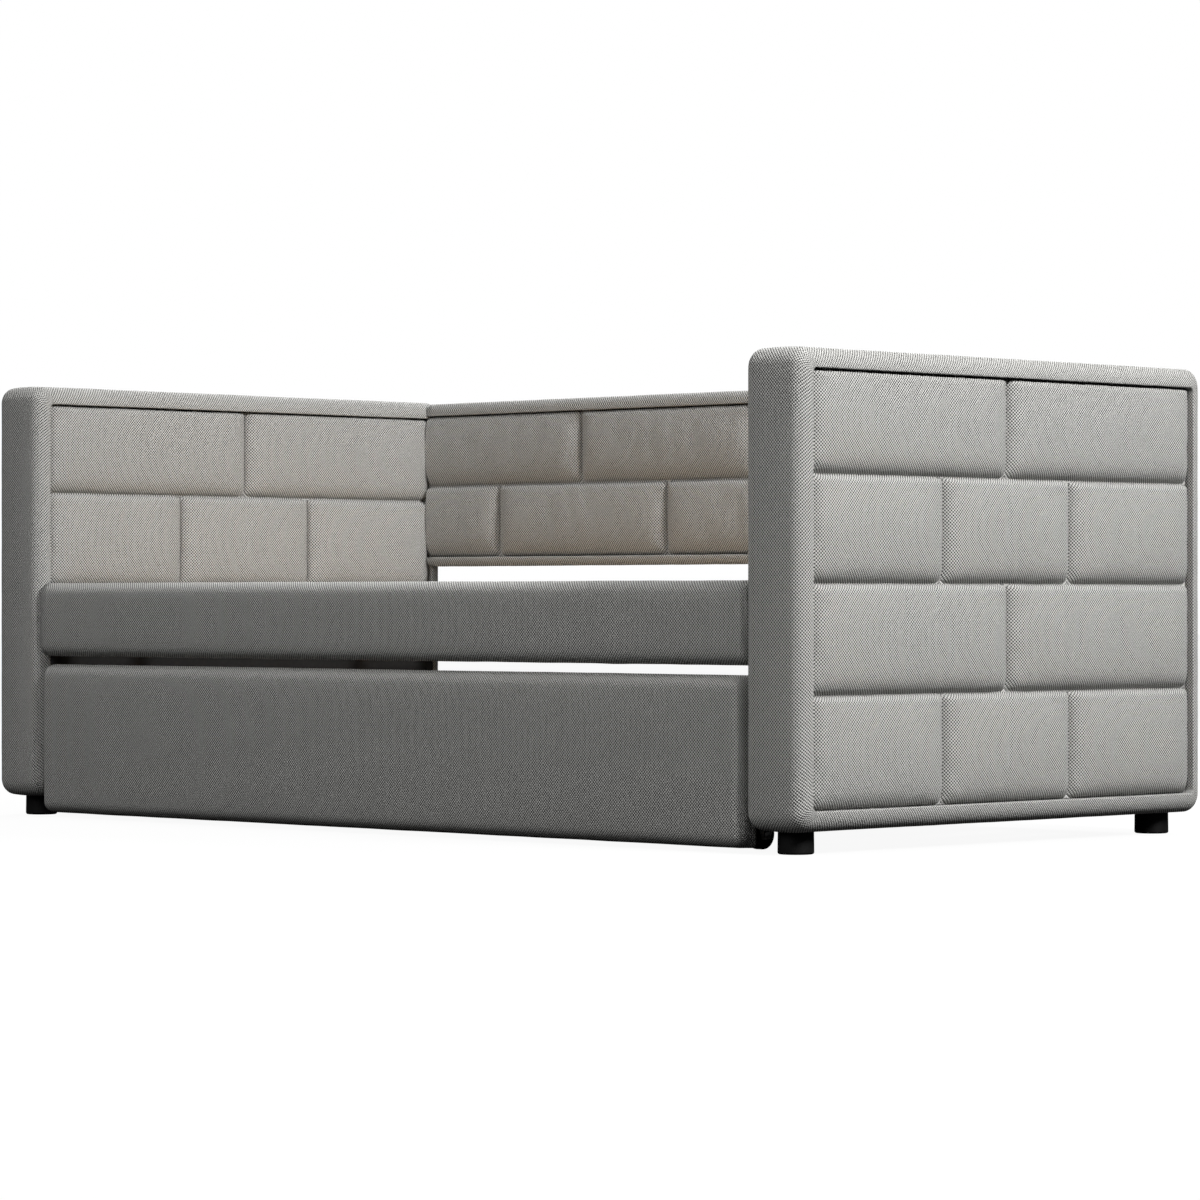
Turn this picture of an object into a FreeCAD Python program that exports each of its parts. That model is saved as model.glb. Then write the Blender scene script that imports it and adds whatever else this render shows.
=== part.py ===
import FreeCAD, Part
import math
import os
import re
import Sketcher

# Trundle bed: a padded daybed whose lower bed rolls out of its front on four fixed casters.
# +X runs along the bed, -Y is its front, +Z is up, and the origin is on the floor under its middle.
# Every piece takes its size and place from the Sizes sheet.

SIZES = (
    # the bed as a whole
    ("inner_length", 1950.0, "between the two arms"),
    ("arm_thick", 140.0, "arm, across"),
    ("arm_depth", 1133.0, "arm, front to rear"),
    ("arm_height", 836.0, "arm, without its feet"),
    ("edge_round", 28.0, "rounding of the arm's padded edges"),
    ("edge_padding", 12.0, "padding round the arm's four narrow sides"),
    ("side_padding", 22.0, "padding on the arm's two broad sides"),
    ("side_border", 32.0, "plain border in front of and behind the stitched field"),
    ("level_border", 36.0, "plain border above and below the stitched field"),
    ("pad_round", 6.0, "rounding of a pad's face"),
    # what the arm holds
    ("skin_thick", 6.0, "boards on both sides of the arm's timber frame"),
    ("stile_width", 90.0, "upright timber in the arm"),
    ("timber_height", 45.0, "level timber in the arm"),
    ("panel_overlap", 10.0, "inner pad below the top of the rails"),
    # feet
    ("foot_height", 40.0, "foot"),
    ("foot_width", 64.0, "foot, across"),
    ("foot_bevel", 2.0, "bevel round the foot's base"),
    ("foot_from_front", 63.0, "arm's front to the front foot's middle"),
    ("foot_from_rear", 70.0, "arm's rear to the rear foot's middle"),
    ("stud_width", 8.0, "threaded stud, across"),
    ("stud_length", 60.0, "threaded stud"),
    ("stud_depth", 22.0, "stud inside the foot"),
    ("bolt_clearance", 0.2, "gap round a bolt, a stud or a screw in its hole"),
    # front and rear rails with the upper deck
    ("rail_bottom", 326.0, "underside of the rails above the floor"),
    ("rail_height", 148.5, "rail with its padding"),
    ("rail_setback", 7.5, "rail's face behind the arm's face"),
    ("rail_thick", 54.0, "rail with its padding"),
    ("rail_board", 28.0, "timber of a rail"),
    ("rail_padding", 12.0, "padding above and below the rail's timber"),
    ("cover_round", 22.0, "rounding of a padded rail's face"),
    ("cover_rear_round", 6.0, "rounding of a padded rail's rear edges"),
    ("ledger_rise", 48.0, "ledger above the rail's underside"),
    ("ledger_size", 28.0, "ledger, square"),
    ("slat_count", 14, "slats in each deck"),
    ("slat_width", 70.0, "slat"),
    ("slat_thick", 18.0, "slat"),
    ("slat_gap", 3.0, "each end of a slat to the rail beside it"),
    ("deck_end", 60.0, "arm to the first slat"),
    ("tape_width", 40.0, "webbing tape under the slats"),
    ("tape_thick", 1.5, "webbing tape"),
    ("tape_spread", 600.0, "between the two tapes' middles"),
    # steel angles that hold the rails to the arms
    ("angle_thick", 3.0, "steel angle"),
    ("angle_rail_leg", 45.0, "leg along the rail"),
    ("angle_arm_leg", 40.0, "leg along the arm"),
    ("angle_margin", 8.0, "angle above the rail timber's lower edge"),
    ("bolt_width", 8.0, "bolt, across"),
    ("bolt_bite", 42.0, "bolt inside the arm's timber"),
    ("bolt_head_width", 15.0, "bolt head, across"),
    ("bolt_head", 5.0, "bolt head"),
    ("bolt_spread", 32.0, "between the two bolts of an angle"),
    ("screw_width", 5.0, "wood screw, across"),
    ("screw_bite", 20.0, "wood screw inside the timber"),
    ("screw_head_width", 9.0, "screw head, across"),
    ("screw_head", 2.5, "screw head"),
    ("screw_spread", 26.0, "between the two screws of an angle"),
    # back panel
    ("back_thick", 51.0, "back panel"),
    ("back_gap", 39.5, "rear rail to the back panel"),
    ("back_drop", 4.0, "top of the back panel below the arm's top"),
    ("back_padding", 12.0, "padding above and below the back's frame"),
    ("back_pad", 16.0, "stitched pad on the back's front"),
    ("back_lower_border", 20.0, "plain border under the stitched field"),
    ("back_upper_border", 27.0, "plain border over the stitched field"),
    ("back_round", 16.0, "rounding of the back's front edges"),
    ("back_rear_round", 8.0, "rounding of the back's rear edges"),
    ("back_board", 5.0, "board behind the pad"),
    ("back_skin", 4.0, "cover on the rear"),
    ("back_rail", 40.0, "level timber in the back, height"),
    ("back_stile", 30.0, "upright timber in the back, width"),
    ("back_stile_count", 5, "upright timbers in the back"),
    ("back_bolt_from_rear", 20.5, "arm's rear to the back's bolts"),
    ("back_bolt_spread", 190.0, "between the two bolts at each end"),
    # trundle
    ("trundle_side_gap", 4.0, "trundle front to each arm"),
    ("reveal_gap", 17.0, "trundle front to the rail above it"),
    ("trundle_floor_gap", 8.0, "trundle front above the floor"),
    ("trundle_thick", 46.0, "trundle front with its padding"),
    ("trundle_board", 22.0, "timber of the trundle front"),
    ("trundle_padding", 12.0, "padding round the edges of the trundle front"),
    ("trundle_rear_gap", 54.5, "trundle's rear to the arm's rear"),
    ("side_thick", 16.0, "side and rear boards"),
    ("side_inset", 1.0, "side boards inside the ends of the front"),
    ("side_bottom", 50.0, "side and rear boards above the floor"),
    ("side_height", 100.0, "side and rear boards"),
    ("bearer_width", 60.0, "timber over the casters"),
    ("bearer_height", 30.0, "timber over the casters, and the trundle's ledgers"),
    ("trundle_ledger", 30.0, "trundle's ledgers, front to rear"),
    ("trundle_deck_end", 40.0, "side board to the first slat"),
    # casters
    ("wheel_width", 22.0, "wheel, along its axle"),
    ("wheel_diameter", 55.0, "wheel"),
    ("wheel_bevel", 2.0, "bevel of the tread"),
    ("tread_height", 7.5, "tread outside the web"),
    ("web_thick", 10.0, "web between the hub and the tread"),
    ("hub_diameter", 18.0, "hub"),
    ("axle_diameter", 8.0, "axle"),
    ("axle_clearance", 0.05, "gap round the axle in the wheel"),
    ("axle_head_width", 13.0, "axle's riveted head, across"),
    ("axle_head", 2.5, "axle's riveted head"),
    ("wheel_side_gap", 1.5, "wheel to each cheek of its fork"),
    ("wheel_top_gap", 9.0, "wheel to the plate of its fork"),
    ("fork_plate", 3.0, "plate of the fork"),
    ("fork_length", 70.0, "plate of the fork, front to rear"),
    ("cheek_thick", 2.5, "cheek of the fork"),
    ("cheek_top", 56.0, "cheek at the plate"),
    ("cheek_foot", 20.0, "cheek at its lower end"),
    ("cheek_end", 10.0, "cheek below the axle's middle"),
    ("fork_screw_across", 44.0, "between a fork's screws, along the axle"),
    ("fork_screw_along", 54.0, "between a fork's screws, front to rear"),
    ("front_caster_inset", 71.0, "end of the trundle front to a front wheel's middle"),
    ("rear_caster_inset", 411.0, "end of the trundle front to a rear wheel's middle"),
    ("caster_from_front", 129.5, "trundle's face to the front wheels' middle"),
    ("caster_from_rear", 130.0, "trundle's rear to the rear wheels' middle"),
)

# Places and sizes that follow from the sheet. Each may use the names above and those before it.
DERIVED = {
    "arm_inner": "inner_length / 2",
    "arm_outer": "arm_inner + arm_thick",
    "arm_front": "-arm_depth / 2",
    "arm_rear": "arm_depth / 2",
    "arm_top": "foot_height + arm_height",
    "core_thick": "arm_thick - 2 * side_padding",
    "core_front": "arm_front + edge_padding",
    "core_depth": "arm_depth - 2 * edge_padding",
    "core_bottom": "foot_height + edge_padding",
    "core_height": "arm_height - 2 * edge_padding",
    "timber_thick": "core_thick - 2 * skin_thick",
    "timber_start": "side_padding + skin_thick",
    "stile_height": "core_height - 2 * timber_height",
    "field_front": "arm_front + side_border",
    "field_depth": "arm_depth - 2 * side_border",
    "field_bottom": "foot_height + level_border",
    "field_height": "arm_height - 2 * level_border",
    "rail_top": "rail_bottom + rail_height",
    "rail_middle": "rail_bottom + rail_height / 2",
    "pad_bottom": "rail_top - panel_overlap",
    "stud_start": "foot_height - stud_depth",
    "stud_hole": "stud_width / 2 + bolt_clearance",
    "rail_timber_height": "rail_height - 2 * rail_padding",
    "rail_timber_bottom": "rail_bottom + rail_padding",
    "rail_reach": "arm_depth / 2 - rail_setback",
    "rail_inside": "rail_reach - rail_thick",
    "ledger_bottom": "rail_bottom + ledger_rise",
    "slat_bottom": "ledger_bottom + ledger_size",
    "deck_half": "arm_inner - deck_end",
    "angle_bottom": "rail_timber_bottom + angle_margin",
    "angle_height": "slat_bottom - angle_bottom",
    "angle_middle": "angle_bottom + angle_height / 2",
    "angle_bolt_place": "rail_inside - angle_arm_leg / 2",
    "rail_bolt_length": "angle_thick + side_padding + skin_thick + bolt_bite",
    "bolt_hole": "bolt_width / 2 + bolt_clearance",
    "screw_hole": "screw_width / 2 + bolt_clearance",
    "back_front": "arm_rear - back_thick",
    "back_bottom": "rail_top + back_gap",
    "back_height": "arm_top - back_drop - back_bottom",
    "back_field_height": "back_height - back_lower_border - back_upper_border",
    "back_core_height": "back_height - 2 * back_padding",
    "back_core_bottom": "back_bottom + back_padding",
    "back_core_front": "back_front + back_pad",
    "back_frame_front": "back_core_front + back_board",
    "back_frame_thick": "back_thick - back_pad - back_board - back_skin",
    "back_middle": "back_bottom + back_height / 2",
    "back_bolt_place": "arm_rear - back_bolt_from_rear",
    "back_bolt_length": "back_stile + side_padding + skin_thick + bolt_bite",
    "trundle_half": "arm_inner - trundle_side_gap",
    "trundle_height": "rail_bottom - reveal_gap - trundle_floor_gap",
    "trundle_inside": "arm_front + trundle_thick",
    "trundle_rear": "arm_rear - trundle_rear_gap",
    "side_outer": "trundle_half - side_inset",
    "side_inner": "side_outer - side_thick",
    "wheel_radius": "wheel_diameter / 2",
    "plate_bottom": "wheel_diameter + wheel_top_gap",
    "bearer_bottom": "plate_bottom + fork_plate",
    "trundle_slat_bottom": "bearer_bottom + bearer_height",
    "trundle_deck_half": "side_inner - trundle_deck_end",
    "cheek_inner": "wheel_width / 2 + wheel_side_gap",
    "cheek_outer": "cheek_inner + cheek_thick",
    "front_caster_across": "trundle_half - front_caster_inset",
    "rear_caster_across": "trundle_half - rear_caster_inset",
    "front_caster_along": "arm_front + caster_from_front",
    "rear_caster_along": "trundle_rear - caster_from_rear",
}

TURN_TO_AXIS = {
    "x": FreeCAD.Rotation(FreeCAD.Vector(0, 1, 0), 90),
    "y": FreeCAD.Rotation(FreeCAD.Vector(1, 0, 0), -90),
    "z": FreeCAD.Rotation(),
}

doc = FreeCAD.newDocument("TrundleBed")
sheet = doc.addObject("Spreadsheet::Sheet", "Sizes")
for row_number, (alias, number, note) in enumerate(SIZES, start=1):
    sheet.set(f"A{row_number}", alias)
    sheet.set(f"B{row_number}", str(number))
    sheet.setAlias(f"B{row_number}", alias)
    sheet.set(f"C{row_number}", note)
doc.recompute()

parts = []


def formula(text):
    """Spell a formula out in cells of the sheet, working the derived names out on the way."""

    def spell(match):
        word = match.group(0)
        if word in DERIVED:
            return "(" + formula(DERIVED[word]) + ")"
        return "Sizes." + word

    return re.sub(r"[a-z_]+", spell, text)


def place(thing, corner):
    """Bind the three coordinates of an object's Placement to formulas."""
    for axis, text in zip("xyz", corner):
        thing.setExpression("Placement.Base." + axis, formula(text))


def new_part(label, corner, turn=0):
    """Start a body that becomes one exported part, with its own origin at corner."""
    body = doc.addObject("PartDesign::Body", label)
    body.Label = label
    body.Placement = FreeCAD.Placement(FreeCAD.Vector(), FreeCAD.Rotation(turn, 0, 0))
    place(body, corner)
    parts.append(body)
    return body


def origin_feature(body, role):
    """Find one of a body's own origin planes or axes by its role."""
    return next(item for item in body.Origin.OriginFeatures if item.Role == role)


def outline(body, plane, *loops):
    """Sketch closed loops of straight edges, with both coordinates of each corner bound."""
    sketch = body.newObject("Sketcher::SketchObject", "Outline")
    sketch.AttachmentSupport = (origin_feature(body, plane), "")
    sketch.MapMode = "FlatFace"
    for loop in loops:
        first = sketch.GeometryCount
        count = len(loop)
        angles = [2 * math.pi * index / count for index in range(count)]
        start = [FreeCAD.Vector(math.cos(angle), math.sin(angle), 0) for angle in angles]
        for index in range(count):
            sketch.addGeometry(Part.LineSegment(start[index], start[(index + 1) % count]), False)
        for index, corner in enumerate(loop):
            edge = first + index
            following = first + (index + 1) % count
            sketch.addConstraint(Sketcher.Constraint("Coincident", edge, 2, following, 1))
            for kind, value, text in zip(("DistanceX", "DistanceY"), start[index], corner):
                number = sketch.addConstraint(Sketcher.Constraint(kind, -1, 1, edge, 1, value))
                sketch.setExpression(f"Constraints[{number}]", formula(text))
    return sketch


def rectangle(wide, deep, left="0", low="0"):
    """Corners of an upright rectangle, from its lower left corner."""
    right = f"({left}) + ({wide})"
    high = f"({low}) + ({deep})"
    return ((left, low), (right, low), (right, high), (left, high))


def pad(body, sketch, length):
    """Raise a sketch into a solid along its plane's normal."""
    feature = body.newObject("PartDesign::Pad", "Pad")
    feature.Profile = sketch
    feature.setExpression("Length", formula(length))
    return feature


def spin(body, sketch, axis):
    """Turn a sketch once round one of its own axes."""
    feature = body.newObject("PartDesign::Revolution", "Spin")
    feature.Profile = sketch
    feature.ReferenceAxis = (sketch, [axis])
    feature.Angle = 360
    return feature


def round_edges(body, radius, chosen):
    """Round the edges of a body that the test called chosen picks from their bounding boxes."""
    doc.recompute()
    base = body.Tip
    names = [
        f"Edge{number}"
        for number, edge in enumerate(base.Shape.Edges, start=1)
        if chosen(edge.BoundBox, base.Shape.BoundBox)
    ]
    feature = body.newObject("PartDesign::Fillet", "Rounding")
    feature.Base = (base, names)
    feature.setExpression("Radius", formula(radius))


def same(first, second):
    """Whether two coordinates are the same within a hundredth of a millimetre."""
    return abs(first - second) < 0.01


def corner_edges(where):
    """Pick the two edges along X at a body's top and bottom, at one end of its depth."""

    def chosen(edge, whole):
        level = same(edge.ZMin, whole.ZMin) or same(edge.ZMin, whole.ZMax)
        return edge.XLength > 1 and same(edge.YMin, getattr(whole, where)) and level

    return chosen


def cut_block(body, size, corner):
    """Take a block out of a body."""
    feature = body.newObject("PartDesign::SubtractiveBox", "Recess")
    for name, text in zip(("Length", "Width", "Height"), size):
        feature.setExpression(name, formula(text))
    place(feature, corner)


def bore(body, axis, start, radius, length):
    """Take a round hole out of a body, from start along the positive axis."""
    feature = body.newObject("PartDesign::SubtractiveCylinder", "Bore")
    feature.setExpression("Radius", formula(radius))
    feature.setExpression("Height", formula(length))
    feature.Placement = FreeCAD.Placement(FreeCAD.Vector(), TURN_TO_AXIS[axis])
    place(feature, start)


def repeat(body, feature, axis, count, span):
    """Repeat a feature evenly along an axis of its body."""
    pattern = body.newObject("PartDesign::LinearPattern", "Row")
    pattern.Originals = [feature]
    pattern.Direction = (origin_feature(body, axis), [""])
    pattern.setExpression("Length", formula(span))
    pattern.setExpression("Occurrences", formula(count))
    body.Tip = pattern


def mirror(body, plane):
    """Add the mirror image of a whole body across one of its origin planes."""
    doc.recompute()
    feature = body.newObject("PartDesign::Mirrored", "Mirror")
    feature.TransformMode = "Whole shape"
    feature.MirrorPlane = (origin_feature(body, plane), [""])
    body.Tip = feature


def block(label, size, corner):
    """A plain rectangular piece, such as a board or a length of timber."""
    body = new_part(label, corner)
    pad(body, outline(body, "XY_Plane", rectangle(size[0], size[1])), size[2])
    return body


def arm_corner(side, start, thick, front, low):
    """Low corner of a piece in an arm, whose near face is start away from the arm's inner face."""
    if side == "right":
        return (f"arm_inner + {start}", front, low)
    return (f"-(arm_inner + {start} + {thick})", front, low)


def arm_piece(side, name, start, size, front, low):
    """A rectangular piece in an arm."""
    return block(f"{side}_arm_{name}", size, arm_corner(side, start, size[0], front, low))


# ---------------------------------------------------------------- arms

def bore_arm_bolts(body, front, low, places, radius):
    """Bore holes along X right through a piece of an arm, at places in the bed's frame."""
    for along, height in places:
        bore(body, "x", ("0", f"{along} - ({front})", f"{height} - ({low})"), radius, "arm_thick")


def rail_bolt_places(sign):
    """The two rail bolts at one end of an arm: -1 at the front, 1 at the rear."""
    return [(f"{sign} * angle_bolt_place", f"angle_middle {up} bolt_spread / 2") for up in "-+"]


def back_bolt_places():
    """The two bolts that hold the back panel to an arm."""
    return [("back_bolt_place", f"back_middle {up} back_bolt_spread / 2") for up in "-+"]


def make_arm_frame(side):
    """Timber frame of an arm with the board on each of its sides."""
    whole = ("timber_thick", "core_depth", "timber_height")
    stile = ("timber_thick", "stile_width", "stile_height")
    above = "core_bottom + timber_height"
    top = "core_bottom + core_height - timber_height"
    rear = "core_front + core_depth - stile_width"

    bottom_rail = arm_piece(side, "bottom_rail", "timber_start", whole, "core_front", "core_bottom")
    for along in ("foot_from_front", "arm_depth - foot_from_rear"):
        centre = ("timber_thick / 2", f"{along} - edge_padding", "0")
        bore(bottom_rail, "z", centre, "stud_hole", "timber_height")
    arm_piece(side, "top_rail", "timber_start", whole, "core_front", top)

    front_stile = arm_piece(side, "front_stile", "timber_start", stile, "core_front", above)
    bore_arm_bolts(front_stile, "core_front", above, rail_bolt_places("-1"), "bolt_hole")
    rear_stile = arm_piece(side, "rear_stile", "timber_start", stile, rear, above)
    places = rail_bolt_places("1") + back_bolt_places()
    bore_arm_bolts(rear_stile, rear, above, places, "bolt_hole")

    middle = ("timber_thick", "core_depth - 2 * stile_width", "timber_height")
    arm_piece(side, "middle_rail", "timber_start", middle, "core_front + stile_width",
              "rail_middle - timber_height / 2")

    skin = ("skin_thick", "core_depth", "core_height")
    arm_piece(side, "outer_board", "arm_thick - timber_start", skin, "core_front", "core_bottom")
    inner = arm_piece(side, "inner_board", "side_padding", skin, "core_front", "core_bottom")
    places = rail_bolt_places("-1") + rail_bolt_places("1") + back_bolt_places()
    bore_arm_bolts(inner, "core_front", "core_bottom", places, "bolt_hole")


def make_arm_border(side):
    """Padded strip that wraps the arm's narrow sides and frames both of its stitched fields."""
    size = ("arm_thick", "arm_depth", "arm_height")
    body = arm_piece(side, "border", "0", size, "arm_front", "foot_height")
    round_edges(body, "edge_round", lambda edge, whole: True)
    cut_block(body, ("core_thick", "core_depth", "core_height"),
              ("side_padding", "edge_padding", "edge_padding"))
    cut_block(body, ("arm_thick", "field_depth", "field_height"),
              ("0", "side_border", "level_border"))
    for along in ("foot_from_front", "arm_depth - foot_from_rear"):
        bore(body, "z", ("arm_thick / 2", along, "0"), "stud_hole", "edge_padding")
    lip = "0" if side == "right" else "arm_thick - side_padding"
    for along, height in back_bolt_places():
        start = (lip, f"{along} - arm_front", f"{height} - foot_height")
        bore(body, "x", start, "bolt_hole", "side_padding")


def make_arm_pads(side):
    """Stitched pads of an arm, and the cloth-faced panel below the inner one."""
    outer_face = "XMax" if side == "right" else "XMin"
    inner_face = "XMin" if side == "right" else "XMax"

    def on_face(face):
        return lambda edge, whole: all(
            same(getattr(edge, end), getattr(whole, face)) for end in ("XMin", "XMax")
        )

    size = ("side_padding", "field_depth", "field_height")
    outer = arm_piece(side, "outer_pad", "arm_thick - side_padding", size, "field_front",
                      "field_bottom")
    round_edges(outer, "pad_round", on_face(outer_face))

    size = ("side_padding", "field_depth", "field_bottom + field_height - pad_bottom")
    inner = arm_piece(side, "inner_pad", "0", size, "field_front", "pad_bottom")
    round_edges(inner, "pad_round", on_face(inner_face))

    size = ("side_padding", "field_depth", "pad_bottom - field_bottom")
    panel = arm_piece(side, "lower_panel", "0", size, "field_front", "field_bottom")
    places = rail_bolt_places("-1") + rail_bolt_places("1")
    bore_arm_bolts(panel, "field_front", "field_bottom", places, "bolt_hole")


def make_foot(end, side):
    """Round foot with a blind hole for its stud, under one end of an arm."""
    across = "arm_inner + arm_thick / 2" if side == "right" else "-(arm_inner + arm_thick / 2)"
    along = "arm_front + foot_from_front" if end == "front" else "arm_rear - foot_from_rear"
    body = new_part(f"{end}_{side}_foot", (across, along, "0"))
    profile = (
        ("0", "0"),
        ("foot_width / 2 - foot_bevel", "0"),
        ("foot_width / 2", "foot_bevel"),
        ("foot_width / 2", "foot_height"),
        ("stud_hole", "foot_height"),
        ("stud_hole", "stud_start"),
        ("0", "stud_start"),
    )
    spin(body, outline(body, "XZ_Plane", profile), "V_Axis")


def make_foot_studs():
    """The four threaded studs that join the feet to the arms."""
    middle = "(foot_from_front - foot_from_rear) / 2"
    reach = "(arm_depth - foot_from_front - foot_from_rear) / 2"
    body = new_part("foot_studs", ("0", middle, "stud_start"))
    stud = body.newObject("PartDesign::AdditiveCylinder", "Stud")
    stud.setExpression("Radius", formula("stud_width / 2"))
    stud.setExpression("Height", formula("stud_length"))
    place(stud, ("arm_inner + arm_thick / 2", reach, "0"))
    mirror(body, "YZ_Plane")
    mirror(body, "XZ_Plane")


# ---------------------------------------------------------------- rails and upper deck

def make_rail(end):
    """A rail: its timber, and the padded cover that wraps the face and both edges."""
    turn = 0 if end == "front" else 180
    sign = "-" if end == "front" else ""
    start = "-arm_inner" if end == "front" else "arm_inner"

    board = new_part(f"{end}_rail_board", (start, f"{sign}(rail_inside + rail_board)",
                                           "rail_timber_bottom"), turn)
    pad(board, outline(board, "YZ_Plane", rectangle("rail_board", "rail_timber_height")),
        "inner_length")

    cover = new_part(f"{end}_rail_cover", (start, f"{sign}rail_reach", "rail_bottom"), turn)
    profile = (
        ("0", "0"),
        ("rail_thick", "0"),
        ("rail_thick", "rail_padding"),
        ("rail_thick - rail_board", "rail_padding"),
        ("rail_thick - rail_board", "rail_height - rail_padding"),
        ("rail_thick", "rail_height - rail_padding"),
        ("rail_thick", "rail_height"),
        ("0", "rail_height"),
    )
    pad(cover, outline(cover, "YZ_Plane", profile), "inner_length")

    round_edges(cover, "cover_round", corner_edges("YMin"))
    round_edges(cover, "cover_rear_round", corner_edges("YMax"))


def make_upper_deck():
    """Ledgers on the rails, the slats that lie on them and the tapes under the slats."""
    ledgers = new_part("slat_ledgers", ("-deck_half", "0", "ledger_bottom"))
    strip = rectangle("2 * deck_half", "ledger_size", "0", "rail_inside - ledger_size")
    pad(ledgers, outline(ledgers, "XY_Plane", strip), "ledger_size")
    mirror(ledgers, "XZ_Plane")

    slats = new_part("deck_slats", ("-deck_half", "-(rail_inside - slat_gap)", "slat_bottom"))
    slat = rectangle("slat_width", "2 * (rail_inside - slat_gap)")
    first = pad(slats, outline(slats, "XY_Plane", slat), "slat_thick")
    repeat(slats, first, "X_Axis", "slat_count", "2 * deck_half - slat_width")

    tapes = new_part("slat_tapes", ("-deck_half", "0", "slat_bottom - tape_thick"))
    tape = rectangle("2 * deck_half", "tape_width", "0", "(tape_spread - tape_width) / 2")
    pad(tapes, outline(tapes, "XY_Plane", tape), "tape_thick")
    mirror(tapes, "XZ_Plane")


def make_rail_angles():
    """The four steel angles between rails and arms, with their bolts and screws."""
    angles = new_part("rail_brackets", ("0", "0", "angle_bottom"))
    corner = (
        ("arm_inner", "rail_inside"),
        ("arm_inner", "rail_inside - angle_arm_leg"),
        ("arm_inner - angle_thick", "rail_inside - angle_arm_leg"),
        ("arm_inner - angle_thick", "rail_inside - angle_thick"),
        ("arm_inner - angle_rail_leg", "rail_inside - angle_thick"),
        ("arm_inner - angle_rail_leg", "rail_inside"),
    )
    pad(angles, outline(angles, "XY_Plane", corner), "angle_height")
    for up in "-+":
        start = ("arm_inner - angle_thick", "angle_bolt_place",
                 f"angle_height / 2 {up} bolt_spread / 2")
        bore(angles, "x", start, "bolt_hole", "angle_thick")
        start = ("arm_inner - angle_rail_leg / 2", "rail_inside - angle_thick",
                 f"angle_height / 2 {up} screw_spread / 2")
        bore(angles, "y", start, "screw_hole", "angle_thick")
    mirror(angles, "YZ_Plane")
    mirror(angles, "XZ_Plane")

    bolts = new_part("rail_bolts", ("0", "0", "angle_middle"))
    for up in "-+":
        add_fastener(bolts, "x", ("arm_inner - angle_thick", "angle_bolt_place",
                                  f"{up} bolt_spread / 2"),
                     "bolt_width", "rail_bolt_length", "bolt_head_width", "bolt_head")
    mirror(bolts, "YZ_Plane")
    mirror(bolts, "XZ_Plane")

    screws = new_part("rail_screws", ("0", "0", "angle_middle"))
    for up in "-+":
        add_fastener(screws, "y", ("arm_inner - angle_rail_leg / 2", "rail_inside - angle_thick",
                                   f"{up} screw_spread / 2"),
                     "screw_width", "angle_thick + screw_bite", "screw_head_width", "screw_head")
    mirror(screws, "YZ_Plane")
    mirror(screws, "XZ_Plane")


def add_fastener(body, axis, seat, width, length, head_width, head):
    """Add a shank that runs from its seat along an axis, and a head on the near side of the seat."""
    before = [f"({text})" for text in seat]
    before["xyz".index(axis)] += f" - {head}"
    for name, start, across, tall in (("Shank", seat, width, length),
                                      ("Head", before, head_width, head)):
        feature = body.newObject("PartDesign::AdditiveCylinder", name)
        feature.setExpression("Radius", formula(f"{across} / 2"))
        feature.setExpression("Height", formula(tall))
        feature.Placement = FreeCAD.Placement(FreeCAD.Vector(), TURN_TO_AXIS[axis])
        place(feature, start)


# ---------------------------------------------------------------- back panel

def make_back():
    """Back panel: timber frame, board, stitched pad, the strips round them and the rear cover."""
    start = "-arm_inner"
    level = ("inner_length", "back_frame_thick", "back_rail")
    top = "back_core_bottom + back_core_height - back_rail"
    block("back_bottom_rail", level, (start, "back_frame_front", "back_core_bottom"))
    block("back_top_rail", level, (start, "back_frame_front", top))

    low = "back_core_bottom + back_rail"
    stiles = new_part("back_stiles", (start, "back_frame_front", low))
    upright = rectangle("back_stile", "back_frame_thick")
    first = pad(stiles, outline(stiles, "XY_Plane", upright), "back_core_height - 2 * back_rail")
    repeat(stiles, first, "X_Axis", "back_stile_count", "inner_length - back_stile")
    for along, height in back_bolt_places():
        for across in ("0", "inner_length - back_stile"):
            centre = (across, f"{along} - (back_frame_front)", f"{height} - ({low})")
            bore(stiles, "x", centre, "bolt_hole", "back_stile")

    block("back_board", ("inner_length", "back_board", "back_core_height"),
          (start, "back_core_front", "back_core_bottom"))
    block("back_rear_cover", ("inner_length", "back_skin", "back_core_height"),
          (start, "arm_rear - back_skin", "back_core_bottom"))

    front_pad = block("back_pad", ("inner_length", "back_pad", "back_field_height"),
                      (start, "back_front", "back_bottom + back_lower_border"))
    round_edges(front_pad, "pad_round", lambda edge, whole: edge.XLength > 1
                and same(edge.YMax, whole.YMin))

    border = new_part("back_border", (start, "back_front", "back_bottom"))
    lower = (
        ("0", "0"),
        ("back_thick", "0"),
        ("back_thick", "back_padding"),
        ("back_pad", "back_padding"),
        ("back_pad", "back_lower_border"),
        ("0", "back_lower_border"),
    )
    upper = (
        ("0", "back_height"),
        ("0", "back_height - back_upper_border"),
        ("back_pad", "back_height - back_upper_border"),
        ("back_pad", "back_height - back_padding"),
        ("back_thick", "back_height - back_padding"),
        ("back_thick", "back_height"),
    )
    pad(border, outline(border, "YZ_Plane", lower, upper), "inner_length")

    round_edges(border, "back_round", corner_edges("YMin"))
    round_edges(border, "back_rear_round", corner_edges("YMax"))

    bolts = new_part("back_bolts", ("0", "back_bolt_place", "back_middle"))
    for up in "-+":
        add_fastener(bolts, "x", ("arm_inner - back_stile", "0", f"{up} back_bolt_spread / 2"),
                     "bolt_width", "back_bolt_length", "bolt_head_width", "bolt_head")
    mirror(bolts, "YZ_Plane")


# ---------------------------------------------------------------- trundle

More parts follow.
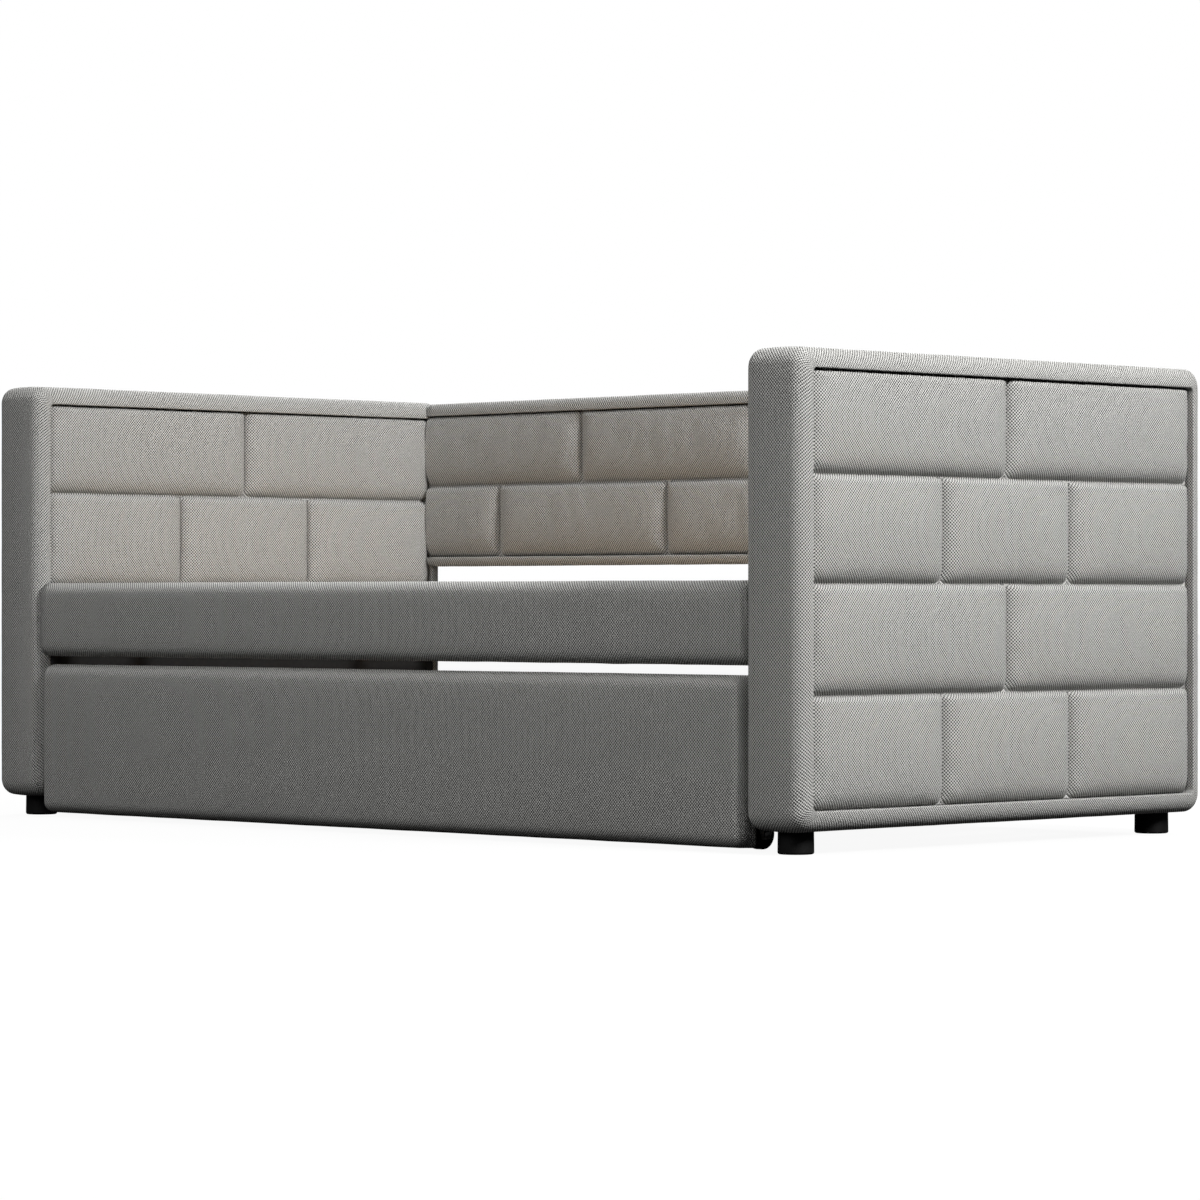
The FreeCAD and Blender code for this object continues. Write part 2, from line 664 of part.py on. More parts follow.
def make_trundle_front():
    """Front panel of the trundle: its timber, and the padded cover round the face and edges."""
    board = ("2 * trundle_half - 2 * trundle_padding", "trundle_board",
             "trundle_height - 2 * trundle_padding")
    block("trundle_front_board", board, ("-trundle_half + trundle_padding",
                                         "trundle_inside - trundle_board",
                                         "trundle_floor_gap + trundle_padding"))
    cover = block("trundle_front_cover", ("2 * trundle_half", "trundle_thick", "trundle_height"),
                  ("-trundle_half", "arm_front", "trundle_floor_gap"))
    round_edges(cover, "cover_round", lambda edge, whole: not same(edge.YMin, whole.YMax))
    cut_block(cover, board, ("trundle_padding", "trundle_thick - trundle_board",
                             "trundle_padding"))


def make_trundle_frame():
    """Side and rear boards, ledgers, bearers over the casters, and the slats."""
    side = ("side_thick", "trundle_rear - trundle_inside", "side_height")
    block("trundle_left_side", side, ("-side_outer", "trundle_inside", "side_bottom"))
    block("trundle_right_side", side, ("side_inner", "trundle_inside", "side_bottom"))
    rear_face = "trundle_rear - side_thick"
    block("trundle_rear_rail", ("2 * side_inner", "side_thick", "side_height"),
          ("-side_inner", rear_face, "side_bottom"))

    ledgers = new_part("trundle_ledgers", ("-side_inner", "0", "bearer_bottom"))
    strips = [rectangle("2 * side_inner", "trundle_ledger", "0", low)
              for low in ("trundle_inside", f"{rear_face} - trundle_ledger")]
    pad(ledgers, outline(ledgers, "XY_Plane", *strips), "bearer_height")

    inside = "trundle_inside + trundle_ledger"
    bearers = new_part("trundle_bearers", ("0", inside, "bearer_bottom"))
    strips = [rectangle("bearer_width", f"{rear_face} - trundle_ledger - ({inside})",
                        f"{end}_caster_across - bearer_width / 2") for end in ("front", "rear")]
    pad(bearers, outline(bearers, "XY_Plane", *strips), "bearer_height")
    mirror(bearers, "YZ_Plane")

    slats = new_part("trundle_slats", ("-trundle_deck_half", "trundle_inside + slat_gap",
                                       "trundle_slat_bottom"))
    slat = rectangle("slat_width", f"{rear_face} - trundle_inside - 2 * slat_gap")
    first = pad(slats, outline(slats, "XY_Plane", slat), "slat_thick")
    repeat(slats, first, "X_Axis", "slat_count", "2 * trundle_deck_half - slat_width")


def make_caster_hardware():
    """The four forks with their axles and screws. Each right-hand one is mirrored to the left."""
    forks = new_part("caster_forks", ("0", "0", "0"))
    axles = new_part("caster_axles", ("0", "0", "0"))
    screws = new_part("caster_screws", ("0", "0", "0"))
    for end in ("front", "rear"):
        add_caster(forks, axles, screws, f"{end}_caster_across", f"{end}_caster_along")
    for body in (forks, axles, screws):
        mirror(body, "YZ_Plane")


def add_caster(forks, axles, screws, across, along):
    """Add one caster's fork, axle and screws to their bodies, at a place under a bearer."""
    plate = rectangle("bearer_width", "fork_length", f"{across} - bearer_width / 2",
                      f"{along} - fork_length / 2")
    sketch = outline(forks, "XY_Plane", plate)
    sketch.setExpression("AttachmentOffset.Base.z", formula("plate_bottom"))
    pad(forks, sketch, "fork_plate")
    cheek = (
        (f"{along} - cheek_top / 2", "plate_bottom"),
        (f"{along} - cheek_foot / 2", "wheel_radius - cheek_end"),
        (f"{along} + cheek_foot / 2", "wheel_radius - cheek_end"),
        (f"{along} + cheek_top / 2", "plate_bottom"),
    )
    for start in (f"{across} - cheek_outer", f"{across} + cheek_inner"):
        sketch = outline(forks, "YZ_Plane", cheek)
        sketch.setExpression("AttachmentOffset.Base.z", formula(start))
        pad(forks, sketch, "cheek_thick")
    bore(forks, "x", (f"{across} - cheek_outer", along, "wheel_radius"),
         "axle_diameter / 2 + axle_clearance", "2 * cheek_outer")

    for start, radius, length in (
            (f"{across} - cheek_outer", "axle_diameter / 2", "2 * cheek_outer"),
            (f"{across} - cheek_outer - axle_head", "axle_head_width / 2", "axle_head"),
            (f"{across} + cheek_outer", "axle_head_width / 2", "axle_head")):
        feature = axles.newObject("PartDesign::AdditiveCylinder", "Axle")
        feature.setExpression("Radius", formula(radius))
        feature.setExpression("Height", formula(length))
        feature.Placement = FreeCAD.Placement(FreeCAD.Vector(), TURN_TO_AXIS["x"])
        place(feature, (start, along, "wheel_radius"))

    for side in "-+":
        for end in "-+":
            seat = (f"{across} {side} fork_screw_across / 2", f"{along} {end} fork_screw_along / 2",
                    "plate_bottom")
            bore(forks, "z", seat, "screw_hole", "fork_plate")
            add_fastener(screws, "z", seat, "screw_width", "fork_plate + screw_bite",
                         "screw_head_width", "screw_head")


def make_wheel(end, side):
    """Solid wheel with a recessed web, spun round its axle."""
    sign = "" if side == "right" else "-"
    body = new_part(f"{end}_{side}_wheel", (f"{sign}{end}_caster_across", f"{end}_caster_along",
                                            "wheel_radius"))
    half = "wheel_width / 2"
    bore_radius = "axle_diameter / 2 + axle_clearance"
    hub = "hub_diameter / 2"
    rim = "wheel_radius - tread_height"
    right = (
        (half, bore_radius),
        (half, hub),
        ("web_thick / 2", hub),
        ("web_thick / 2", rim),
        (half, rim),
        (half, "wheel_radius - wheel_bevel"),
        (f"{half} - wheel_bevel", "wheel_radius"),
    )
    left = tuple((f"-({place_across})", height) for place_across, height in reversed(right))
    spin(body, outline(body, "XY_Plane", right + left), "H_Axis")


for arm_side in ("left", "right"):
    make_arm_frame(arm_side)
    make_arm_border(arm_side)
    make_arm_pads(arm_side)
    for foot_end in ("front", "rear"):
        make_foot(foot_end, arm_side)
make_foot_studs()
for rail_end in ("front", "rear"):
    make_rail(rail_end)
make_upper_deck()
make_rail_angles()
make_back()
make_trundle_front()
make_trundle_frame()
make_caster_hardware()
for wheel_end in ("front", "rear"):
    for wheel_side in ("left", "right"):
        make_wheel(wheel_end, wheel_side)

doc.recompute()

for item in doc.Objects:
    if "Invalid" in item.State or "Error" in item.State:
        raise RuntimeError(f"{item.Label} failed: {item.State}")
for part in parts:
    if part.Shape.isNull() or not part.Shape.isValid() or not part.Shape.Solids:
        raise RuntimeError(f"{part.Label} has no valid solid")

os.makedirs("parts", exist_ok=True)
for part in parts:
    part.Shape.exportStep(f"parts/{part.Label}.step")
print(f"{len(parts)} parts written")
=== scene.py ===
"""Looks of a padded daybed with a trundle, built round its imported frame.

Lengths are in metres. +X runs along the bed, -Y is its front and +Z is up.
"""

import logging
import math
from dataclasses import dataclass
from enum import Enum
from typing import Callable, Sequence

import bmesh
import bpy
import numpy as np
from mathutils import Matrix, Vector


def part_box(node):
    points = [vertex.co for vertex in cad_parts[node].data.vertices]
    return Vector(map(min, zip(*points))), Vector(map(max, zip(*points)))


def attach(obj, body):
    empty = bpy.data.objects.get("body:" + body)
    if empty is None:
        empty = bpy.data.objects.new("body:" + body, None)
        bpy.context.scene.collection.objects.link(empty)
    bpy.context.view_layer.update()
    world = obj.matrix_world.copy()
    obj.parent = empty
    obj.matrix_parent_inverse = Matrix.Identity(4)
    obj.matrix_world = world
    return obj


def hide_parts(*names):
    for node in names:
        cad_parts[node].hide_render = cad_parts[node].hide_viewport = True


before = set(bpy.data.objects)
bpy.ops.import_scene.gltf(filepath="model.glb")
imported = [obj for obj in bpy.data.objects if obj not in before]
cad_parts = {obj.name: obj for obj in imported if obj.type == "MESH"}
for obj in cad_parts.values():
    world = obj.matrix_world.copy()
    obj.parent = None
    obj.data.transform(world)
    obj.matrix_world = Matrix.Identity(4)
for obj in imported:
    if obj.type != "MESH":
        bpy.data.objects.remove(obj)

logging.basicConfig(level=logging.INFO, format="%(message)s")
log = logging.getLogger("trundle_bed")

MM = 0.001
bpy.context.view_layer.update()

Point = tuple[float, float, float]
Colour = tuple[float, float, float, float]
Lift = Callable[[np.ndarray], np.ndarray]
Piece = bpy.types.Object
Material = bpy.types.Material
NodeTree = bpy.types.NodeTree
Node = bpy.types.Node
Socket = bpy.types.NodeSocket
Sockets = bpy.types.bpy_prop_collection


class Place(Enum):
    """A place on the bed whose word stands in node names."""

    @property
    def word(self) -> str:
        """Name used in node names."""
        return self.name.lower()


class Side(Place):
    """The bed's two ends, as seen from the front."""

    LEFT = -1
    RIGHT = 1


class End(Place):
    """The bed's two long sides."""

    FRONT = -1
    REAR = 1


class Axis(Enum):
    """Axes of the bed's frame."""

    X = 0
    Y = 1
    Z = 2


class Body(Enum):
    """Rigid bodies of the frame that pieces ride on."""

    BED = "daybed"
    TRUNDLE = "trundle"


# ------------------------------------------------------------------ shader groups


class Graph:
    """Short calls for adding nodes to one node tree."""

    def __init__(self, tree: NodeTree) -> None:
        """Keep the tree that nodes are added to.

        Args:
            tree: Shader or geometry node tree.
        """
        self.tree = tree

    def feed(self, inputs: Sockets, values: dict[str | int, object]) -> None:
        """Link inputs to other sockets, or set them to plain values.

        Args:
            inputs: Input sockets of a node.
            values: Output socket, number, tuple or data block by the input's name or number.
        """
        for key, value in values.items():
            if isinstance(value, Socket):
                self.tree.links.new(value, inputs[key])
            else:
                inputs[key].default_value = value

    def add(self, kind: str, values: dict[str | int, object] | None = None,
            **settings: object) -> Node:
        """Add a node, set its properties and feed its inputs.

        Args:
            kind: Node type, such as ShaderNodeMath.
            values: What is fed to its inputs, by name or number.
            settings: Properties of the node by name.

        Returns:
            The new node.
        """
        node = self.tree.nodes.new(kind)
        for name, value in settings.items():
            setattr(node, name, value)
        self.feed(node.inputs, values or {})
        return node

    def math(self, operation: str, *values: object, clamp: bool = False) -> Socket:
        """Add a Math node.

        Args:
            operation: Name of the operation.
            values: Up to three inputs.
            clamp: Whether the result is kept from 0 to 1.

        Returns:
            Its output socket.
        """
        return self.add("ShaderNodeMath", dict(enumerate(values)), operation=operation,
                        use_clamp=clamp).outputs[0]

    def blend(self, factor: object, first: object, second: object) -> Socket:
        """Mix two numbers, from the first at factor 0 to the second at 1."""
        return self.add("ShaderNodeMix", {0: factor, 2: first, 3: second},
                        data_type="FLOAT").outputs[0]

    def tint(self, factor: object, first: object, second: object) -> Socket:
        """Mix two colours, from the first at factor 0 to the second at 1."""
        return self.add("ShaderNodeMix", {0: factor, 6: first, 7: second},
                        data_type="RGBA").outputs[2]

    def noise(self, vector: object, scale: float, detail: float = 2.0) -> Socket:
        """Add noise of a scale in waves per metre, about 0.5 on average."""
        return self.add("ShaderNodeTexNoise", {"Vector": vector, "Scale": scale,
                                               "Detail": detail}).outputs[0]

    def stretch(self, vector: object, scale: Point) -> Socket:
        """Scale coordinates by a factor along each axis."""
        return self.add("ShaderNodeMapping", {"Vector": vector, "Scale": scale}).outputs[0]

    def scaled(self, vector: object, scale: object) -> Socket:
        """Scale a vector by one number."""
        return self.add("ShaderNodeVectorMath", {0: vector, "Scale": scale},
                        operation="SCALE").outputs[0]

    def place(self, kind: str) -> Socket:
        """Texture coordinates of a kind, such as Object or UV."""
        return self.add("ShaderNodeTexCoord").outputs[kind]


def new_group(name: str, inputs: dict[str, float | None], outputs: Sequence[str]
              ) -> tuple[Graph, Sockets, Sockets]:
    """Start a shader node group with named sockets.

    Args:
        name: Name of the group.
        inputs: First value of each number, or None for a vector, by input name.
        outputs: Names of the outputs, which are numbers.

    Returns:
        The group's graph, the sockets that it reads and the sockets that it feeds.
    """
    tree = bpy.data.node_groups.new(name, "ShaderNodeTree")
    for label, value in inputs.items():
        kind = "NodeSocketVector" if value is None else "NodeSocketFloat"
        socket = tree.interface.new_socket(label, in_out="INPUT", socket_type=kind)
        if value is not None:
            socket.default_value = value
    for label in outputs:
        tree.interface.new_socket(label, in_out="OUTPUT", socket_type="NodeSocketFloat")
    graph = Graph(tree)
    return graph, graph.add("NodeGroupInput").outputs, graph.add("NodeGroupOutput").inputs


def weave_group() -> NodeTree:
    """Plain weave of pale and dark threads with slubs and uneven dye.

    Returns:
        Group that gives Shade, 0 for a dark thread to 1 for a pale one, and Height, 0 to 1.
    """
    waves_per_metre, wander = 45.0, 0.0010
    run_length, run_shift = 4.0, 9.0
    warp_key, weft_key = 3.0, 5.0
    least_hump = 0.4
    g, start, end = new_group(
        "weave", {"Vector": None, "Pitch": 0.002, "Contrast": 0.5, "Slub": 0.3, "Speck": 0.5},
        ("Shade", "Height"))
    waves = g.add("ShaderNodeTexNoise", {"Vector": start["Vector"], "Scale": waves_per_metre,
                                         "Detail": 1.0}, noise_dimensions="2D")
    drift = g.add("ShaderNodeVectorMath", {0: waves.outputs["Color"], 1: (wander, wander, 0.0),
                                           2: start["Vector"]}, operation="MULTIPLY_ADD")
    axes = g.add("ShaderNodeSeparateXYZ", {0: drift.outputs[0]}).outputs
    across = g.math("DIVIDE", axes[0], start["Pitch"])
    along = g.math("DIVIDE", axes[1], start["Pitch"])
    column, row = g.math("FLOOR", across), g.math("FLOOR", along)
    over = g.math("FLOORED_MODULO", g.math("ADD", column, row), 2.0)

    def random(first: object, second: object) -> Socket:
        """A random number from 0 to 1 for each pair of whole numbers."""
        pair = g.add("ShaderNodeCombineXYZ", {0: first, 1: second}).outputs[0]
        return g.add("ShaderNodeTexWhiteNoise", {"Vector": pair},
                     noise_dimensions="2D").outputs["Value"]

    def stretch_at(place: Socket, shift: Socket) -> Socket:
        """Number of the evenly dyed stretch of thread that a place falls in."""
        shifted = g.math("ADD", place, g.math("MULTIPLY", shift, run_shift))
        return g.math("FLOOR", g.math("DIVIDE", shifted, run_length))

    def centred(value: Socket) -> Socket:
        """A number from 0 to 1, moved to lie round zero."""
        return g.math("SUBTRACT", value, 0.5)

    def arch(position: Socket) -> Socket:
        """Height of a half wave over each thread."""
        return g.math("SINE", g.math("MULTIPLY", g.math("FRACT", position), math.pi))

    cell = random(column, row)
    warp_run = random(column, stretch_at(row, random(column, warp_key)))
    weft_run = random(stretch_at(column, random(weft_key, row)), row)
    run = g.blend(over, weft_run, warp_run)
    strength = g.math("MULTIPLY_ADD", centred(cell), start["Speck"], 1.0)
    strength = g.math("MULTIPLY", strength, start["Contrast"])
    tone = g.math("ADD", g.math("MULTIPLY", centred(over), strength),
                  g.math("MULTIPLY", centred(run), start["Slub"]))
    hump = g.math("MULTIPLY", g.math("MULTIPLY", arch(across), arch(along)), centred(over))
    height = g.math("MULTIPLY_ADD", hump, g.math("ADD", cell, least_hump), 0.5)
    g.feed(end, {"Shade": g.math("ADD", tone, 0.5, clamp=True), "Height": height})
    return g.tree


def grain_group() -> NodeTree:
    """Wood grain along X: long streaks, rings and fine pores.

    Returns:
        Group that gives Shade and Height, both 0 to 1.
    """
    ring_waves, pore_waves = (1.2, 26.0, 26.0), (14.0, 900.0, 900.0)
    rings_per_wave, rise_ratio, rounding = 9.0, 3.0, 0.2
    g, start, end = new_group("grain", {"Vector": None, "Coarse": 1.0}, ("Shade", "Height"))
    place = g.scaled(start["Vector"], start["Coarse"])
    rings = g.noise(g.stretch(place, ring_waves), 1.0, 3.0)
    bands = g.math("FRACT", g.math("MULTIPLY", rings, rings_per_wave))
    falling = g.math("MULTIPLY", g.math("SUBTRACT", 1.0, bands), rise_ratio)
    soft = g.math("SMOOTH_MIN", bands, falling, rounding)
    pores = g.noise(g.stretch(place, pore_waves), 1.0, 2.0)

    def shares(of_soft: float, of_pores: float) -> Socket:
        """Sum of a share of the rings and a share of the pores."""
        return g.math("ADD", g.math("MULTIPLY", soft, of_soft),
                      g.math("MULTIPLY", pores, of_pores), clamp=True)

    g.feed(end, {"Shade": shares(0.55, 0.45), "Height": shares(0.3, 0.7)})
    return g.tree


def wear_group() -> NodeTree:
    """Dust and handling marks in soft patches.

    Returns:
        Group that gives Mask, 0 to 1.
    """
    fine_scale, gain, threshold = 14.0, 4.0, -0.6
    g, start, end = new_group("wear", {"Vector": None, "Scale": 12.0}, ("Mask",))
    place = g.scaled(start["Vector"], start["Scale"])
    patches = g.math("MULTIPLY", g.noise(place, 1.0, 4.0), g.noise(place, fine_scale, 2.0))
    g.feed(end, {"Mask": g.math("MULTIPLY_ADD", patches, gain, threshold, clamp=True)})
    return g.tree


class Groups:
    """The shared shader groups, each built once."""

    def __init__(self) -> None:
        """Build every group."""
        self.weave = weave_group()
        self.grain = grain_group()
        self.wear = wear_group()


# ------------------------------------------------------------------ finishes


def grey(level: float, warmth: float = 0.0) -> Colour:
    """A grey with a little warmth.

    Args:
        level: Linear brightness.
        warmth: Share by which blue is lowered.

    Returns:
        Linear colour with alpha.
    """
    return (level * (1 + 0.15 * warmth), level, level * (1 - warmth), 1.0)


class Surface(Graph):
    """A new node material, with calls that feed its Principled node."""

    def __init__(self, name: str, groups: Groups | None = None) -> None:
        """Start the material.

        Args:
            name: Name of the material.
            groups: Shared shader groups, for a surface that uses them.
        """
        self.material = bpy.data.materials.new(name)
        self.material.use_nodes = True
        super().__init__(self.material.node_tree)
        self.shader = self.tree.nodes["Principled BSDF"]
        self.groups = groups

    def group(self, tree: NodeTree, **values: object) -> Sockets:
        """Put in a shared group, feed its inputs by name and return its outputs."""
        return self.add("ShaderNodeGroup", values, node_tree=tree).outputs

    def look(self, **values: object) -> None:
        """Feed the Principled node's inputs, with underscores for spaces in their names."""
        self.feed(self.shader.inputs, {name.replace("_", " "): value
                                       for name, value in values.items()})

    def bump(self, height: Socket, distance: float, strength: float) -> None:
        """Drive the normal by a height.

        Args:
            height: Height, 0 to 1.
            distance: Height in metres at 1.
            strength: Share of the effect.
        """
        self.look(Normal=self.add("ShaderNodeBump", {
            "Height": height, "Distance": distance, "Strength": strength}).outputs[0])


@dataclass(frozen=True)
class Finish:
    """A finish of the bed; each kind paints its surface in its own way."""

    name: str

    def build(self, groups: Groups) -> Material:
        """Make the material.

        Args:
            groups: Shared shader groups.

        Returns:
            The finished material.
        """
        surface = Surface(self.name, groups)
        self.paint(surface)
        return surface.material

    def paint(self, g: Surface) -> None:
        """Feed the surface; every kind of finish has its own."""
        raise NotImplementedError


@dataclass(frozen=True)
class WovenCloth(Finish):
    """Upholstery cloth of pale and dark threads, laid along a piece's own UV map in metres."""

    pale: Colour
    dark: Colour
    pitch: float = 0.0031
    contrast: float = 1.7
    slub: float = 0.14
    speck: float = 1.0
    relief: float = 0.0010
    sheen: float = 0.1
    mottling: float = 0.05
    patch_waves: float = 9.0
    streak_long: float = 14.0
    streak_short: float = 160.0
    roughness: float = 0.86
    gloss: float = 0.2

    def paint(self, g: Surface) -> None:
        """Feed the surface.

        Args:
            g: Surface of the material.
        """
        place = g.place("UV")
        weave = g.group(g.groups.weave, Vector=place, Pitch=self.pitch, Contrast=self.contrast,
                        Slub=self.slub, Speck=self.speck)
        patches = g.noise(place, self.patch_waves, 3.0)
        cross = g.noise(g.stretch(place, (self.streak_long, self.streak_short, 1.0)), 1.0)
        down = g.noise(g.stretch(place, (self.streak_short, self.streak_long, 1.0)), 1.0)
        uneven = g.math("ADD", g.math("MULTIPLY", patches, 0.4),
                        g.math("MULTIPLY", g.math("ADD", cross, down), 0.3))
        tone = g.math("MULTIPLY_ADD", g.math("SUBTRACT", uneven, 0.5), self.mottling * 2,
                      weave["Shade"], clamp=True)
        g.look(Base_Color=g.tint(tone, self.dark, self.pale),
               Roughness=g.math("MULTIPLY_ADD", patches, 0.1, self.roughness),
               Sheen_Weight=self.sheen, Sheen_Roughness=0.5, Specular_IOR_Level=self.gloss)
        g.bump(weave["Height"], self.relief, 1.0)


@dataclass(frozen=True)
class Timber(Finish):
    """Bare or stained wood with its grain along X, Y or Z."""

    pale: Colour
    dark: Colour
    along: Axis
    roughness: float = 0.62
    relief: float = 0.0003
    worn: float = 0.3

    def paint(self, g: Surface) -> None:
        """Feed the surface.

        Args:
            g: Surface of the material.
        """
        place = g.place("Object")
        quarter = math.pi / 2
        turn = {Axis.X: (0.0, 0.0, 0.0), Axis.Y: (0.0, 0.0, quarter),
                Axis.Z: (0.0, quarter, 0.0)}
        turned = g.add("ShaderNodeMapping", {"Vector": place, "Rotation": turn[self.along]})
        grain = g.group(g.groups.grain, Vector=turned.outputs[0])
        wear = g.group(g.groups.wear, Vector=place, Scale=7.0)
        colour = g.tint(grain["Shade"], self.dark, self.pale)
        g.look(Base_Color=g.tint(g.math("MULTIPLY", wear["Mask"], self.worn), colour, self.dark),
               Roughness=g.math("MULTIPLY_ADD", grain["Shade"], 0.15, self.roughness))
        g.bump(grain["Height"], self.relief, 0.5)


@dataclass(frozen=True)
class Moulded(Finish):
    """Moulded plastic with a fine pebbled skin and scuffs."""

    colour: Colour
    scuffed: Colour
    roughness: float
    pebble: float = 1400.0
    relief: float = 0.00012
    scuffs: float = 0.4
    gloss: float = 0.2

    def paint(self, g: Surface) -> None:
        """Feed the surface.

        Args:
            g: Surface of the material.
        """
        place = g.place("Object")
        wear = g.group(g.groups.wear, Vector=place, Scale=30.0)
        mask = g.math("MULTIPLY", wear["Mask"], self.scuffs)
        g.look(Base_Color=g.tint(mask, self.colour, self.scuffed),
               Roughness=g.math("MULTIPLY_ADD", mask, 0.4, self.roughness),
               Specular_IOR_Level=self.gloss)
        g.bump(g.noise(place, self.pebble, 1.0), self.relief, 0.6)


@dataclass(frozen=True)
class Plated(Finish):
    """Zinc-plated steel with drawn streaks and dull patches."""

    colour: Colour
    dull: Colour
    roughness: float = 0.34
    metallic: float = 0.8
    streak_waves: Point = (60.0, 60.0, 1500.0)
    relief: float = 0.00006

    def paint(self, g: Surface) -> None:
        """Feed the surface.

        Args:
            g: Surface of the material.
        """
        place = g.place("Object")
        streaks = g.noise(g.stretch(place, self.streak_waves), 1.0)
        wear = g.group(g.groups.wear, Vector=place, Scale=40.0)
        g.look(Base_Color=g.tint(wear["Mask"], self.colour, self.dull),
               Roughness=g.math("MULTIPLY_ADD", streaks, 0.25, self.roughness - 0.1),
               Metallic=self.metallic)
        g.bump(streaks, self.relief, 0.5)


@dataclass(frozen=True)
class DustCloth(Finish):
    """Non-woven cloth of pressed fibres; its near-black colour serves as painted shade."""

    colour: Colour
    fibre: Colour
    fibre_waves: float = 700.0
    dots_per_metre: float = 420.0
    roughness: float = 0.85
    relief: float = 0.0002

    def paint(self, g: Surface) -> None:
        """Feed the surface.

        Args:
            g: Surface of the material.
        """
        place = g.place("Object")
        fibres = g.noise(place, self.fibre_waves, 3.0)
        dots = g.add("ShaderNodeTexVoronoi", {"Vector": place, "Scale": self.dots_per_metre})
        wear = g.group(g.groups.wear, Vector=place, Scale=9.0)
        mix = g.math("MULTIPLY", g.math("ADD", fibres, wear["Mask"]), 0.4)
        g.look(Base_Color=g.tint(mix, self.colour, self.fibre),
               Roughness=g.math("MULTIPLY_ADD", fibres, 0.1, self.roughness))
        g.bump(dots.outputs["Distance"], self.relief, 0.6)


class Finishes:
    """Every material of the bed, built once."""

    def __init__(self) -> None:
        """Build the shared groups and then the materials."""
        pine = ((0.70, 0.50, 0.30, 1.0), (0.46, 0.28, 0.14, 1.0))
        birch = ((0.80, 0.64, 0.44, 1.0), (0.60, 0.42, 0.25, 1.0))
        stained = (grey(0.030, 0.15), grey(0.012, 0.15))
        groups = Groups()
        self.cloth = WovenCloth("grey_woven_cloth", grey(0.58, 0.035),
                                grey(0.055, 0.05)).build(groups)
        self.webbing = WovenCloth("webbing", grey(0.72, 0.03), grey(0.5, 0.03), pitch=0.0016,
                                  contrast=0.5, slub=0.2, speck=0.5, sheen=0.0,
                                  mottling=0.1).build(groups)
        # Near-black lining under the arms' inner fields: a dust cloth whose black colour is painted
        # shade for the dark space below the deck.
        self.lining = DustCloth("black_dust_cloth", grey(0.008), grey(0.03)).build(groups)
        self.timber_x, self.timber_y, self.timber_z = (
            Timber(f"pine_along_{axis.name.lower()}", *pine, axis).build(groups) for axis in Axis)
        self.slat = Timber("birch_slat", *birch, Axis.Y, roughness=0.5).build(groups)
        self.board = Timber("dark_board", *stained, Axis.X, roughness=0.42).build(groups)
        self.board_y = Timber("dark_board_y", *stained, Axis.Y, roughness=0.42).build(groups)
        self.foot = Moulded("black_foot", grey(0.003), grey(0.012), roughness=0.6).build(groups)
        self.wheel = Moulded("black_wheel", grey(0.010), grey(0.05), roughness=0.38).build(groups)
        self.zinc = Plated("zinc_plate", grey(0.62, 0.02), grey(0.40, 0.04),
                           metallic=0.35).build(groups)
        self.steel = Plated("bright_zinc", grey(0.6), grey(0.4), roughness=0.28).build(groups)


# ------------------------------------------------------------------ mesh making


def add_piece(name: str, data: bpy.types.ID) -> Piece:
    """Put a mesh, lamp or camera in the scene as an object at the origin."""
    piece = bpy.data.objects.new(name, data)
    bpy.context.scene.collection.objects.link(piece)
    return piece


def make_object(name: str, vertices: np.ndarray, faces: Sequence[Sequence[int]],
                uvs: Sequence[tuple[float, float]] | None, material: Material) -> Piece:
    """Make a smooth mesh object at the origin.

    Args:
        name: Name of the piece.
        vertices: Rows of X, Y and Z.
        faces: Corner numbers of each face.
        uvs: One UV pair for each corner of each face in order, or None.
        material: Its finish.

    Returns:
        The new object.
    """
    mesh = bpy.data.meshes.new(name)
    mesh.from_pydata(np.asarray(vertices).tolist(), [], [list(face) for face in faces])
    if uvs is not None:
        layer = mesh.uv_layers.new(name="UVMap")
        layer.data.foreach_set("uv", np.asarray(uvs, dtype=np.float32).ravel())
    mesh.polygons.foreach_set("use_smooth", [True] * len(mesh.polygons))
    mesh.materials.append(material)
    mesh.update()
    return add_piece(name, mesh)


def spaced(low: float, high: float, marks: Sequence[float], offsets: Sequence[float],
           step: float) -> np.ndarray:
    """Places along a line that crowd round marks and are even between them.

    Args:
        low: First place.
        high: Last place.
        marks: Places to crowd round.
        offsets: Distances from a mark, on both sides.
        step: Largest gap elsewhere.

    Returns:
        Sorted places with both ends.
    """
    places = {round(low, 6), round(high, 6)}
    for mark in marks:
        for offset in offsets:
            for place in (mark - offset, mark + offset):
                if low < place < high:
                    places.add(round(place, 6))
    ordered = sorted(places)
    kept = [ordered[0]]
    for place in ordered[1:]:
        if place - kept[-1] > 0.1 * MM or place == ordered[-1]:
            kept.append(place)
    full = []
    for first, second in zip(kept, kept[1:]):
        count = max(1, math.ceil((second - first) / step))
        full.extend(first + (second - first) * index / count for index in range(count))
    return np.array(full + [kept[-1]])


def ripple(points: np.ndarray, wavelength: float, seed: int) -> np.ndarray:
    """Smooth unevenness, from -1 to 1, at points in space.

    Args:
        points: Rows of three coordinates.
        wavelength: Typical length of a wave.
        seed: Which pattern.

    Returns:
        One number for each point.
    """
    random = np.random.default_rng(seed)
    total = np.zeros(len(points))
    for _ in range(7):
        direction = random.normal(size=3)
        direction /= np.linalg.norm(direction)
        length = wavelength * random.uniform(0.6, 1.8)
        total += np.sin(points @ direction * (2 * math.pi / length) + random.uniform(0, 6.3))
    return total / 7


@dataclass(frozen=True)
class Plane:
    """A working frame on a flat face: a corner, and directions along, up and out of the face."""

    corner: Point
    along: tuple[int, int, int]
    up: tuple[int, int, int]
    out: tuple[int, int, int]

    def lay(self, points: np.ndarray) -> np.ndarray:
        """Turn rows of (along, up, out) into positions in the bed's frame.

        Args:
            points: Rows of three distances.

        Returns:
            Rows of X, Y and Z.
        """
        basis = np.array([self.along, self.up, self.out], dtype=float)
        return points @ basis + np.array(self.corner)


